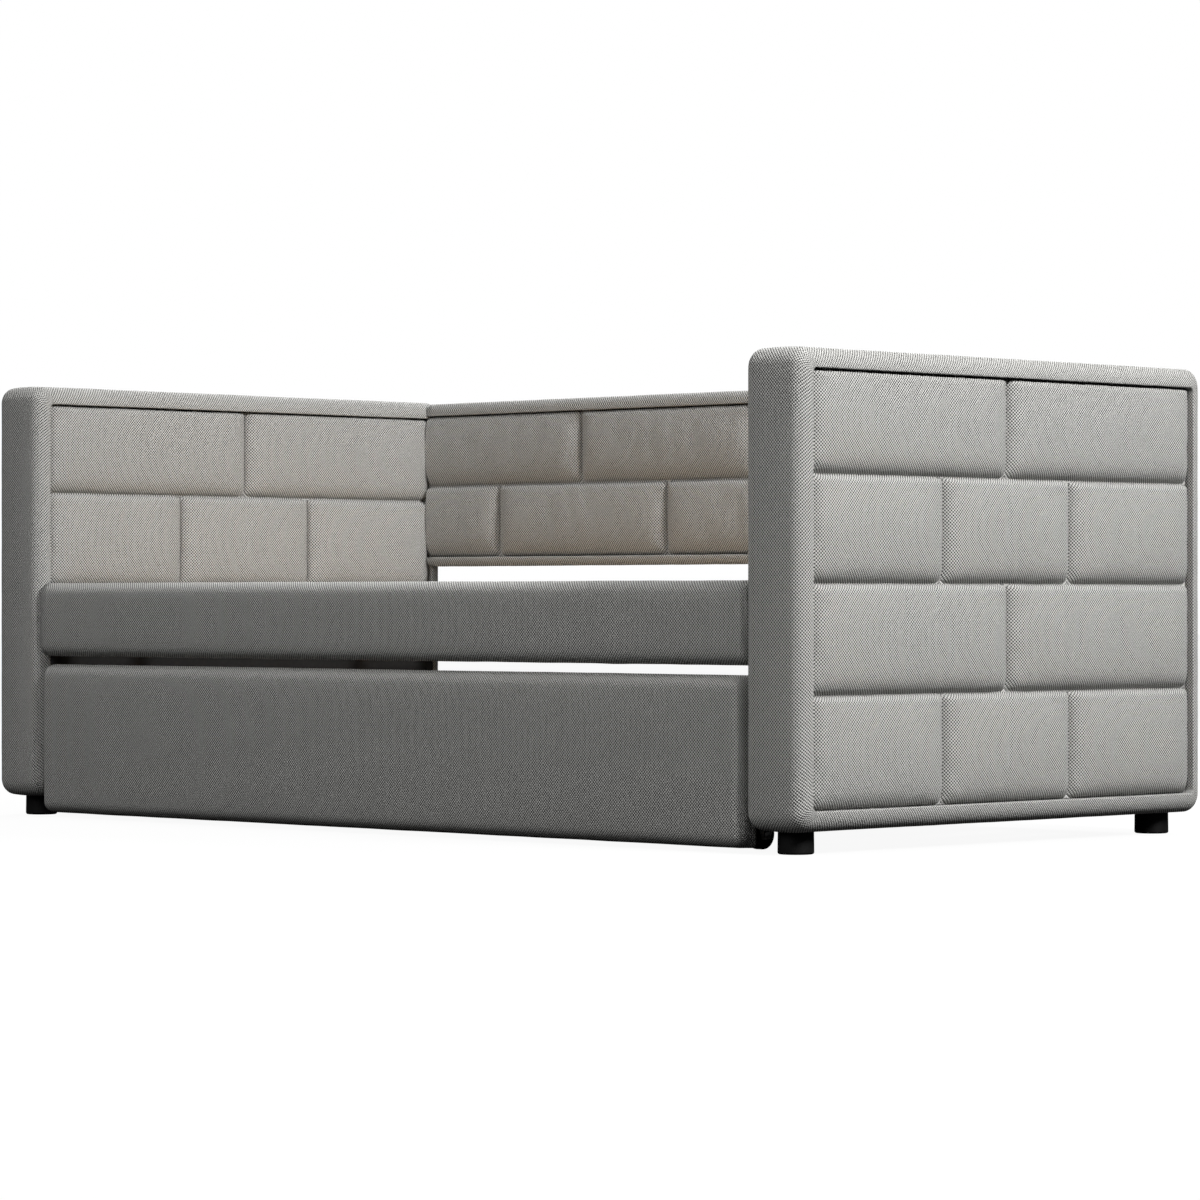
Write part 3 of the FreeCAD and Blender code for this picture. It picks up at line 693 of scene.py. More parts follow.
def grid_faces(rows: int, columns: int, wrap: bool = False) -> list[tuple[int, int, int, int]]:
    """Quads of a grid of points stored row by row.

    Args:
        rows: Number of rows.
        columns: Number of points in a row.
        wrap: Whether the last row joins the first.

    Returns:
        Corner numbers of each quad, anticlockwise where columns run right and rows run up.
    """
    faces = []
    for row in range(rows if wrap else rows - 1):
        above = (row + 1) % rows
        for column in range(columns - 1):
            faces.append((row * columns + column, row * columns + column + 1,
                          above * columns + column + 1, above * columns + column))
    return faces


# ------------------------------------------------------------------ padding


@dataclass(frozen=True)
class Brick:
    """One stitched brick of a pad, as a rectangle on its face."""

    left: float
    right: float
    low: float
    high: float


@dataclass
class PuffSheet:
    """A flat sheet of cloth, held along its seams and blown up between them."""

    width: float
    height: float
    bricks: Sequence[Brick]
    cell: float = 0.009
    pressure: float = 4.0
    mass: float = 0.35
    slack: float = 0.025
    stiffness: float = 18.0
    bending: float = 0.8
    frames: int = 20
    full_rise: float = 97.0
    most_rise: float = 0.05

    def pinned(self, points: np.ndarray) -> np.ndarray:
        """Which points lie on a seam.

        Args:
            points: Rows of (along, up).

        Returns:
            One truth value for each point.
        """
        reach = self.cell * 0.51
        held = np.zeros(len(points), dtype=bool)
        for brick in self.bricks:
            inside_level = (points[:, 1] > brick.low - reach) & (points[:, 1] < brick.high + reach)
            inside_span = (points[:, 0] > brick.left - reach) & (points[:, 0] < brick.right + reach)
            for edge in (brick.left, brick.right):
                held |= inside_level & (np.abs(points[:, 0] - edge) < reach)
            for edge in (brick.low, brick.high):
                held |= inside_span & (np.abs(points[:, 1] - edge) < reach)
        return held

    def blow(self) -> Lift:
        """Run the cloth and measure how far it rose.

        Returns:
            A function from rows of (along, up) to a rise, 0 on a seam to about 1 mid-brick.
        """
        columns = round(self.width / self.cell) + 1
        rows = round(self.height / self.cell) + 1
        across = np.linspace(0, self.width, columns)
        upward = np.linspace(0, self.height, rows)
        flat = np.stack(np.meshgrid(across, upward), axis=-1).reshape(-1, 2)
        rise = self.simulate(flat, rows, columns)
        field = (rise / max(np.percentile(rise, self.full_rise), 1e-6)).reshape(rows, columns)

        def sample(points: np.ndarray) -> np.ndarray:
            """Read the rise between grid points."""
            x = np.clip(points[:, 0] / self.width * (columns - 1), 0, columns - 1.001)
            y = np.clip(points[:, 1] / self.height * (rows - 1), 0, rows - 1.001)
            i, j = x.astype(int), y.astype(int)
            u, v = x - i, y - j
            return ((field[j, i] * (1 - u) + field[j, i + 1] * u) * (1 - v)
                    + (field[j + 1, i] * (1 - u) + field[j + 1, i + 1] * u) * v)

        return sample

    def simulate(self, flat: np.ndarray, rows: int, columns: int) -> np.ndarray:
        """Blow the sheet up with a cloth simulation.

        Args:
            flat: Rows of (along, up).
            rows: Rows of the grid.
            columns: Points in a row.

        Returns:
            Rise of each point in metres.
        """
        scene = bpy.context.scene
        mesh = bpy.data.meshes.new("puff")
        points = np.column_stack([flat, np.zeros(len(flat))])
        mesh.from_pydata(points.tolist(), [], grid_faces(rows, columns))
        sheet = add_piece("puff", mesh)
        group = sheet.vertex_groups.new(name="seams")
        group.add(np.flatnonzero(self.pinned(flat)).tolist(), 1.0, "REPLACE")
        cloth = sheet.modifiers.new("Cloth", "CLOTH")
        settings = cloth.settings
        settings.quality = 5
        settings.mass = self.mass
        settings.vertex_group_mass = "seams"
        settings.use_pressure = True
        settings.uniform_pressure_force = self.pressure
        settings.shrink_min = -self.slack
        settings.tension_stiffness = self.stiffness
        settings.compression_stiffness = self.stiffness
        settings.bending_stiffness = self.bending
        settings.effector_weights.gravity = 0.0
        cloth.point_cache.frame_start = 1
        cloth.point_cache.frame_end = self.frames
        for number in range(1, self.frames + 1):
            scene.frame_set(number)
        seen = sheet.evaluated_get(bpy.context.evaluated_depsgraph_get())
        moved = np.zeros(len(flat) * 3)
        seen.data.vertices.foreach_get("co", moved)
        rise = moved.reshape(-1, 3)[:, 2].copy()
        bpy.data.objects.remove(sheet)
        bpy.data.meshes.remove(mesh)
        scene.frame_set(1)
        return np.clip(rise, 0, self.most_rise)


@dataclass
class BrickPad:
    """A stitched pad whose bricks swell between their seams."""

    name: str
    plane: Plane
    width: float
    height: float
    thick: float
    bricks: Sequence[Brick]
    rise_at: Lift
    depth: float = 0.020
    crown: float = 0.0040
    groove: float = 0.0026
    side_groove: float = 0.0014
    upper_roll: float = 0.010
    upper_power: float = 0.42
    lower_roll: float = 0.034
    lower_power: float = 0.60
    side_roll: float = 0.030
    side_power: float = 0.52
    notch: float = 0.004
    notch_reach: float = 0.008
    wander: float = 0.0007
    unevenness: float = 0.0005
    fall: float = 2.4
    rise_share: float = 0.22
    steps_mm: tuple[float, ...] = (0, 0.15, 0.6, 1.5, 3, 5, 8, 12, 17, 23, 30)
    gap_along: float = 0.014
    gap_up: float = 0.011
    piece_shift: tuple[float, float] = (0.37, 0.61)
    seed: int = 1

    def roll(self, distance: np.ndarray, radius: float, power: float) -> np.ndarray:
        """Share of the full height at a distance from the edge of a seam's groove.

        Args:
            distance: Distance from the groove.
            radius: Distance at which the full height is reached.
            power: Roundness; less than a half is squarer than an ellipse.

        Returns:
            From 0 at the seam to 1.
        """
        share = np.clip(distance / radius, 0, 1)
        return (1 - (1 - share) ** self.fall) ** power

    def heights(self, flat: np.ndarray) -> np.ndarray:
        """Height of the pad's face at points on it.

        Args:
            flat: Rows of (along, up).

        Returns:
            Height above the pad's back.
        """
        share = np.zeros(len(flat))
        for brick in self.bricks:
            inside = ((flat[:, 0] >= brick.left) & (flat[:, 0] <= brick.right)
                      & (flat[:, 1] >= brick.low) & (flat[:, 1] <= brick.high))
            x, z = flat[inside, 0], flat[inside, 1]
            beside = np.minimum(np.abs(x - brick.left), np.abs(brick.right - x))
            lift = self.notch * np.exp(-(beside / self.notch_reach) ** 2)
            share[inside] = (self.roll(beside - self.side_groove, self.side_roll, self.side_power)
                             * self.roll(z - brick.low - lift - self.groove, self.lower_roll,
                                         self.lower_power)
                             * self.roll(brick.high - z - self.groove, self.upper_roll,
                                         self.upper_power))
        rise = self.rise_at(flat)
        part = self.rise_share
        soft = share * (1 - part + part * np.sqrt(np.clip(rise, 0, 1.3)))
        return self.thick - self.depth + self.depth * soft + self.crown * share * rise

    def build(self, material: Material) -> Piece:
        """Make the pad as a closed mesh.

        Args:
            material: Its cloth.

        Returns:
            The pad.
        """
        steps = np.array(self.steps_mm) * MM
        marks_x = sorted({edge for brick in self.bricks for edge in (brick.left, brick.right)})
        marks_z = sorted({edge for brick in self.bricks for edge in (brick.low, brick.high)})
        across = spaced(0, self.width, marks_x, [0, *(steps + self.side_groove)], self.gap_along)
        upward = spaced(0, self.height, marks_z, [0, *(steps + self.groove)], self.gap_up)
        columns, rows = len(across), len(upward)
        flat = np.stack(np.meshgrid(across, upward), axis=-1).reshape(-1, 2)
        heights = self.heights(flat)
        face = np.column_stack([flat, heights])
        inner = ((flat > 1e-6) & (flat < np.array([self.width, self.height]) - 1e-6)).all(axis=1)
        for axis, wavelength in ((0, 0.07), (1, 0.09)):
            face[:, axis] += self.wander * ripple(face, wavelength, self.seed + axis) * inner
        raised = heights > self.thick - 6 * MM
        face[:, 2] += self.unevenness * ripple(face, 0.09, self.seed) * raised
        back = np.column_stack([flat, np.zeros(len(flat))])
        rim = (list(range(columns))
               + [row * columns + columns - 1 for row in range(1, rows)]
               + [(rows - 1) * columns + column for column in range(columns - 2, -1, -1)]
               + [row * columns for row in range(rows - 2, 0, -1)])
        vertices = np.vstack([face, back[rim]])
        base = len(face)
        faces = list(grid_faces(rows, columns))
        for index, corner in enumerate(rim):
            following = (index + 1) % len(rim)
            faces.append((base + index, base + following, rim[following], corner))
        faces.append(tuple(base + index for index in reversed(range(len(rim)))))
        front = self.cloth_map(across, upward, heights.reshape(rows, columns))
        rest = [tuple(vertices[corner][:2]) for quad in faces[len(front) // 4:]
                for corner in quad]
        return make_object(self.name, self.plane.lay(vertices), faces, np.vstack([front, rest]),
                           material)

    def cloth_map(self, across: np.ndarray, upward: np.ndarray, surface: np.ndarray
                  ) -> np.ndarray:
        """Lay the cloth over the face by distances along it, from the middle of each brick.

        Args:
            across: Places of the columns.
            upward: Places of the rows.
            surface: Height at each row and column.

        Returns:
            A UV pair for each corner of each face quad, row by row.
        """
        rows, columns = surface.shape
        run_x = np.zeros_like(surface)
        run_x[:, 1:] = np.cumsum(np.hypot(np.diff(across), np.diff(surface, axis=1)), axis=1)
        run_z = np.zeros_like(surface)
        run_z[1:] = np.cumsum(np.hypot(np.diff(upward)[:, None], np.diff(surface, axis=0)), axis=0)
        middle_x = (across[:-1] + across[1:]) / 2
        middle_z = (upward[:-1] + upward[1:]) / 2
        row_of, column_of = np.meshgrid(np.arange(rows - 1), np.arange(columns - 1),
                                        indexing="ij")
        result = np.zeros((rows - 1, columns - 1, 4, 2))
        for number, brick in enumerate(self.bricks):
            mine = (((middle_x > brick.left) & (middle_x < brick.right))[None, :]
                    & ((middle_z > brick.low) & (middle_z < brick.high))[:, None])
            at_x = np.abs(across - (brick.left + brick.right) / 2).argmin()
            at_z = np.abs(upward - (brick.low + brick.high) / 2).argmin()
            for corner, (down, along) in enumerate(((0, 0), (0, 1), (1, 1), (1, 0))):
                row, column = row_of[mine] + down, column_of[mine] + along
                result[mine, corner] = np.column_stack([
                    across[at_x] + run_x[row, column] - run_x[row, at_x],
                    upward[at_z] + run_z[row, column] - run_z[at_z, column],
                ]) + np.array(self.piece_shift) * number
        return result.reshape(-1, 2)


def brick_rows(width: float, levels: Sequence[float], seams: Sequence[Sequence[float]]
               ) -> list[Brick]:
    """Bricks of a pad from its level seams and each row's upright seams.

    Args:
        width: Width of the pad.
        levels: Heights of the level seams from the bottom edge to the top edge.
        seams: Upright seams of each row, from the bottom row.

    Returns:
        Every brick.
    """
    bricks = []
    for low, high, cuts in zip(levels, levels[1:], seams):
        edges = [0.0, *cuts, width]
        bricks.extend(Brick(left, right, low, high) for left, right in zip(edges, edges[1:]))
    return bricks


@dataclass
class SoftSlab:
    """A board wrapped in padding: rounded all round, with a recess at the rear for its timber."""

    name: str
    low: Vector
    high: Vector
    recess: Point
    face_round: float
    end_round: float
    rear_round: float = 0.006
    crown: float = 0.004
    flat_along: int = 8
    flat_up: int = 4
    unevenness: float = 0.0007
    gap_along: float = 0.020
    gap_up: float = 0.014
    seed: int = 5

    def build(self, material: Material) -> Piece:
        """Make the slab as a closed mesh.

        Args:
            material: Its cloth.

        Returns:
            The slab.
        """
        size = self.high - self.low
        bend = [self.face_round * share for share in (0, 0.12, 0.25, 0.4, 0.55, 0.7, 0.85, 1.0)]
        rear = [size.y - self.rear_round * share for share in (0, 0.5, 1.0)]
        middle = np.linspace(self.face_round, size.y - self.rear_round, 4)
        xs, zs = (self.lines(length, bend, edge, gap) for length, edge, gap in
                  ((size.x, self.recess[0], self.gap_along), (size.z, self.recess[1], self.gap_up)))
        ys = np.unique(np.round(np.concatenate([bend, rear, middle]), 6))
        points, faces, uvs = box_shell(xs, ys, zs)
        place = np.array(self.low) + self.rounded(points, np.array(size))
        return make_object(self.name, place, faces, uvs, material)

    @staticmethod
    def lines(length: float, bend: Sequence[float], edge: float, gap: float) -> np.ndarray:
        """Grid lines that crowd round the slab's ends and frame its recess.

        Args:
            length: Length of the slab that way.
            bend: Steps across the rounding.
            edge: Width of the cloth beside the recess.
            gap: Largest gap elsewhere.

        Returns:
            Sorted places.
        """
        step = 0.5 * MM
        frame_lines = [edge, edge + step, length - edge, length - edge - step]
        return np.unique(np.concatenate([spaced(0, length, [0.0, length], bend, gap),
                                         frame_lines]))

    def rounded(self, points: np.ndarray, size: np.ndarray) -> np.ndarray:
        """Round and swell a plain box.

        Args:
            points: Positions on a box that starts at the origin, its face at Y zero.
            size: Size of the box.

        Returns:
            New positions.
        """
        share = np.clip((points[:, 1] - self.face_round)
                        / max(size[1] - self.face_round - self.rear_round, 1e-6), 0, 1)
        radius = self.face_round + (self.rear_round - self.face_round) * share
        inner = points.copy()
        end_radius = np.minimum(radius, self.end_round)
        inner[:, 0] = np.clip(points[:, 0], end_radius, size[0] - end_radius)
        inner[:, 1] = np.clip(points[:, 1], self.face_round, size[1] - self.rear_round)
        inner[:, 2] = np.clip(points[:, 2], radius, size[2] - radius)
        offset = points - inner
        spread = np.column_stack([end_radius, radius, radius])
        unit = offset / spread
        length = np.maximum(np.linalg.norm(unit, axis=1), 1e-9)
        place = inner + offset / length[:, None]
        on_face = points[:, 1] < 1e-9
        u = np.clip(points[:, 0] / size[0], 0, 1)
        v = np.clip(points[:, 2] / size[2], 0, 1)
        swell = (1 - (2 * u - 1) ** self.flat_along) * (1 - (2 * v - 1) ** self.flat_up)
        place[on_face, 1] -= (self.crown * swell)[on_face]
        wave = ripple(points, 0.16, self.seed) + 0.5 * ripple(points, 0.05, self.seed + 1)
        front_half = np.clip(1 - points[:, 1] / size[1], 0, 1)
        place[:, 1] -= self.unevenness * wave * front_half * (unit[:, 1] < 0)
        place[:, 2] += 0.5 * MM * wave * unit[:, 2]
        edge_x, edge_z, deep = self.recess
        inset = np.array([edge_x, 0.0, edge_z]) + 0.2 * MM
        window = ((points > inset) & (points < size - inset))[:, [0, 2]].all(axis=1)
        place[window & (points[:, 1] > size[1] - 1e-9), 1] = size[1] - deep
        return place


def box_shell(xs: np.ndarray, ys: np.ndarray, zs: np.ndarray
              ) -> tuple[np.ndarray, list[tuple[int, ...]], list[tuple[float, float]]]:
    """Closed grid over the six faces of a box.

    Args:
        xs: Places of grid lines along X, both ends included.
        ys: The same along Y.
        zs: The same along Z.

    Returns:
        Points, quads that face outwards, and a UV pair for each corner, unrolled round the box.
    """
    numbers: dict[tuple[int, int, int], int] = {}
    points: list[Point] = []
    faces: list[tuple[int, ...]] = []
    uvs: list[tuple[float, float]] = []

    def number(i: int, j: int, k: int) -> int:
        """Number of the point at three grid lines."""
        key = (i, j, k)
        if key not in numbers:
            numbers[key] = len(points)
            points.append((xs[i], ys[j], zs[k]))
        return numbers[key]

    last = (len(xs) - 1, len(ys) - 1, len(zs) - 1)
    deep, tall = ys[-1], zs[-1]
    for i in range(last[0]):
        for k in range(last[2]):
            for j, order in ((0, 1), (last[1], -1)):
                ring = [(i, k), (i + 1, k), (i + 1, k + 1), (i, k + 1)][::order]
                faces.append(tuple(number(a, j, b) for a, b in ring))
                shift = 0.0 if j == 0 else tall + deep
                uvs.extend((xs[a], zs[b] + shift) for a, b in ring)
        for j in range(last[1]):
            for k, order in ((0, -1), (last[2], 1)):
                ring = [(i, j), (i + 1, j), (i + 1, j + 1), (i, j + 1)][::order]
                faces.append(tuple(number(a, b, k) for a, b in ring))
                uvs.extend((xs[a], (tall + ys[b]) if k else -ys[b]) for a, b in ring)
    for j in range(last[1]):
        for k in range(last[2]):
            for i, order in ((0, -1), (last[0], 1)):
                ring = [(j, k), (j + 1, k), (j + 1, k + 1), (j, k + 1)][::order]
                faces.append(tuple(number(i, a, b) for a, b in ring))
                uvs.extend(((xs[-1] + ys[a]) if i else -ys[a], zs[b]) for a, b in ring)
    return np.array(points), faces, uvs


def sheet(name: str, low: Sequence[float], high: Sequence[float], lines: Sequence[int],
          material: Material) -> Piece:
    """Make a closed flat box whose faces are divided so that they can be crumpled.

    Args:
        name: Name of the piece.
        low: Its low corner.
        high: Its high corner.
        lines: Number of grid lines along X, Y and Z.
        material: Its finish.

    Returns:
        The piece.
    """
    low, size = np.array(low), np.array(high) - np.array(low)
    points, faces, uvs = box_shell(*(np.linspace(0, length, count)
                                     for length, count in zip(size, lines)))
    return make_object(name, points + low, faces, uvs, material)


def lathe(name: str, profile: Sequence[tuple[float, float]], centre: Point,
          axis: Axis, material: Material, steps: int) -> Piece:
    """Turn a closed profile round an axis.

    Args:
        name: Name of the piece.
        profile: Pairs of (along the axis, radius), anticlockwise with the axis to the right.
        centre: Where the axis's zero is.
        axis: The axis, X or Z.
        material: Its finish.
        steps: Faces round the axis.

    Returns:
        The piece, closed where the profile reaches the axis or returns to its start.
    """
    vertices: list[Point] = []
    rings: list[list[int]] = []
    for along, radius in profile:
        ring = []
        for step in range(steps if radius > 1e-9 else 1):
            angle = 2 * math.pi * step / steps
            first, second = radius * math.cos(angle), radius * math.sin(angle)
            point = (along, first, second) if axis == Axis.X else (first, second, along)
            ring.append(len(vertices))
            vertices.append(tuple(centre[n] + point[n] for n in range(3)))
        rings.append(ring)
    closed = profile[0][1] > 1e-9 and profile[-1][1] > 1e-9
    pairs = list(zip(rings, rings[1:] + rings[:1])) if closed else list(zip(rings, rings[1:]))
    faces = []
    for first, second in pairs:
        for step in range(steps):
            after = (step + 1) % steps
            corners = [first[step % len(first)], first[after % len(first)],
                       second[after % len(second)], second[step % len(second)]]
            face = list(dict.fromkeys(corners))
            if len(face) > 2:
                faces.append(face)
    piece = make_object(name, np.array(vertices), faces, None, material)
    face_outwards(piece)
    return piece


def face_outwards(piece: Piece) -> None:
    """Turn every face of a closed mesh outwards.

    Args:
        piece: A closed mesh.
    """
    mesh = bmesh.new()
    mesh.from_mesh(piece.data)
    bmesh.ops.remove_doubles(mesh, verts=mesh.verts, dist=1e-6)
    bmesh.ops.recalc_face_normals(mesh, faces=mesh.faces)
    mesh.to_mesh(piece.data)
    mesh.free()


def soften(piece: Piece, width: float, sharpest: float = 40.0) -> None:
    """Bevel a piece's edges for good.

    Args:
        piece: The piece.
        width: Width of the bevel.
        sharpest: Degrees past which an edge is bevelled.
    """
    modifier = piece.modifiers.new("Bevel", "BEVEL")
    modifier.width = width
    modifier.segments = 2
    modifier.limit_method = "ANGLE"
    modifier.angle_limit = math.radians(sharpest)
    bake_modifiers(piece)


def bake_modifiers(piece: Piece) -> None:
    """Replace a piece's mesh by what its modifiers make of it.

    Args:
        piece: The piece.
    """
    state = bpy.context.evaluated_depsgraph_get()
    mesh = bpy.data.meshes.new_from_object(piece.evaluated_get(state), depsgraph=state,
                                           preserve_all_data_layers=True)
    old = piece.data
    piece.modifiers.clear()
    piece.data = mesh
    bpy.data.meshes.remove(old)


def join(name: str, pieces: Sequence[Piece]) -> Piece:
    """Join several meshes into one piece.

    Args:
        name: Name of the piece.
        pieces: Meshes, which are used up.

    Returns:
        The joined piece.
    """
    for other in bpy.context.selected_objects:
        other.select_set(False)
    for piece in pieces:
        piece.select_set(True)
    bpy.context.view_layer.objects.active = pieces[0]
    bpy.ops.object.join()
    pieces[0].name = pieces[0].data.name = name
    pieces[0].select_set(False)
    return pieces[0]


def settle(piece: Piece, body: Body | str, node: str = "") -> None:
    """Tie a finished piece to the frame.

    Args:
        piece: The piece.
        body: Rigid body that it rides on.
        node: Frame node that it stands for, if any.
    """
    body = body.value if isinstance(body, Body) else body
    if node:
        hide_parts(node)
    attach(piece, body)
    log.info("%-28s %7d faces on %s", piece.name, len(piece.data.polygons), body)


# ------------------------------------------------------------------ swept strips


def rounded_outline(corners: Sequence[tuple[float, float]], radii: Sequence[float],
                    step: float = 0.012, arc_steps: int = 7) -> np.ndarray:
    """Round the corners of a closed outline and divide its straight runs.

    Args:
        corners: Corners in order.
        radii: Rounding of each corner, zero for a sharp one.
        step: Largest gap along a straight run.
        arc_steps: Points along each rounding.

    Returns:
        Points of the outline in order.
    """
    points = np.array(corners, dtype=float)
    count = len(points)
    knots: list[list[np.ndarray]] = []
    for index in range(count):
        here, before, after = points[index], points[index - 1], points[(index + 1) % count]
        inward = (before - here) / np.linalg.norm(before - here)
        onward = (after - here) / np.linalg.norm(after - here)
        radius = radii[index]
        if radius <= 0:
            knots.append([here])
            continue
        centre = here + (inward + onward) * radius
        arc = []
        for part in range(arc_steps + 1):
            angle = math.pi / 2 * part / arc_steps
            arc.append(centre - onward * radius * math.cos(angle)
                       - inward * radius * math.sin(angle))
        knots.append(arc)
    result: list[np.ndarray] = []
    for index, arc in enumerate(knots):
        result.extend(arc)
        start, stop = arc[-1], knots[(index + 1) % count][0]
        parts = max(1, math.ceil(np.linalg.norm(stop - start) / step))
        result.extend(start + (stop - start) * part / parts for part in range(1, parts))
    return np.array(result)


def loft(name: str, rings: np.ndarray, stations: Sequence[float], material: Material,
         wrap: bool = False) -> Piece:
    """Skin a row of closed rings into one closed mesh.

    Args:
        name: Name of the piece.
        rings: Points by ring, by place on the ring, by axis.
        stations: Distance of each ring along the row, with one more for the start when it wraps.
        material: Its finish.
        wrap: Whether the last ring joins the first; otherwise both ends are capped.

    Returns:
        The piece.
    """
    count, size = rings.shape[:2]
    around = np.zeros(size + 1)
    closed = np.vstack([rings[0], rings[0][:1]])
    around[1:] = np.cumsum(np.linalg.norm(np.diff(closed, axis=0), axis=1))
    faces: list[tuple[int, ...]] = []
    uvs: list[tuple[float, float]] = []
    for ring in range(count if wrap else count - 1):
        following = (ring + 1) % count
        for place in range(size):
            beside = (place + 1) % size
            faces.append((ring * size + place, following * size + place,
                          following * size + beside, ring * size + beside))
            near, far = stations[ring], stations[ring + 1]
            uvs.extend([(near, around[place]), (far, around[place]),
                        (far, around[place + 1]), (near, around[place + 1])])
    if not wrap:
        for ring, order in ((0, 1), (count - 1, -1)):
            cap = [ring * size + place for place in range(size)][::order]
            faces.append(tuple(cap))
            uvs.extend(tuple(rings[ring][corner - ring * size][1:]) for corner in cap)
    piece = make_object(name, rings.reshape(-1, 3), faces, uvs, material)
    face_outwards(piece)
    return piece


def strip_along_x(name: str, outline: np.ndarray, low_x: float, high_x: float,
                  material: Material, step: float = 0.02) -> Piece:
    """Sweep an outline of Y and Z along X.

    Args:
        name: Name of the piece.
        outline: Rows of Y and Z.
        low_x: Where it starts.
        high_x: Where it ends.
        material: Its finish.
        step: Gap between rings.

    Returns:
        The piece.
    """
    stations = np.linspace(low_x, high_x, math.ceil((high_x - low_x) / step) + 1)
    rings = np.array([np.column_stack([np.full(len(outline), x), outline]) for x in stations])
    return loft(name, rings, stations, material)


def crumple(piece: Piece, amount: float, wavelength: float, seed: int) -> None:
    """Push a piece's surface in and out a little, as foam under cloth lies.

    Args:
        piece: The piece.
        amount: Largest push.
        wavelength: Typical length of a wave.
        seed: Which pattern.
    """
    mesh = piece.data
    count = len(mesh.vertices)
    places, normals = np.zeros(count * 3), np.zeros(count * 3)
    mesh.vertices.foreach_get("co", places)
    mesh.vertices.foreach_get("normal", normals)
    places, normals = places.reshape(-1, 3), normals.reshape(-1, 3)
    push = amount * (0.7 * ripple(places, wavelength, seed)
                     + 0.3 * ripple(places, wavelength * 0.35, seed + 1))
    mesh.vertices.foreach_set("co", (places + normals * push[:, None]).ravel())
    mesh.update()


def soft_copy(node: str, name: str, material: Material,
              bevel: float) -> Piece:
    """Copy a frame node's mesh and soften its edges.

    Args:
        node: Frame node.
        name: Name of the new piece.
        material: Its finish.
        bevel: Width of the softened edges.

    Returns:
        The piece.
    """
    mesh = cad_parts[node].data.copy()
    mesh.name = name
    mesh.materials.clear()
    mesh.materials.append(material)
    piece = add_piece(name, mesh)
    face_outwards(piece)
    soften(piece, bevel)
    mesh = piece.data
    mesh.polygons.foreach_set("use_smooth", [True] * len(mesh.polygons))
    mesh.set_sharp_from_angle(angle=math.radians(35))
    return piece


def settle_copies(body: Body, *rows: tuple[str, str, Material, float, str]) -> None:
    """Put soft-edged copies of frame nodes in the nodes' places.

    Args:
        body: Rigid body that they ride on.
        rows: Node, name of the new piece, finish, bevel and material slot of each; the slot is not
            used.
    """
    for node, name, material, bevel, slot in rows:
        settle(soft_copy(node, name, material, bevel), body, node)


def dress(material: Material, *nodes: str) -> None:
    """Give frame nodes that stay in the model a finish.

    Args:
        material: The finish.
        nodes: Frame nodes.
    """
    for node in nodes:
        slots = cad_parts[node].data.materials
        slots.clear()
        slots.append(material)


# ------------------------------------------------------------------ repeats


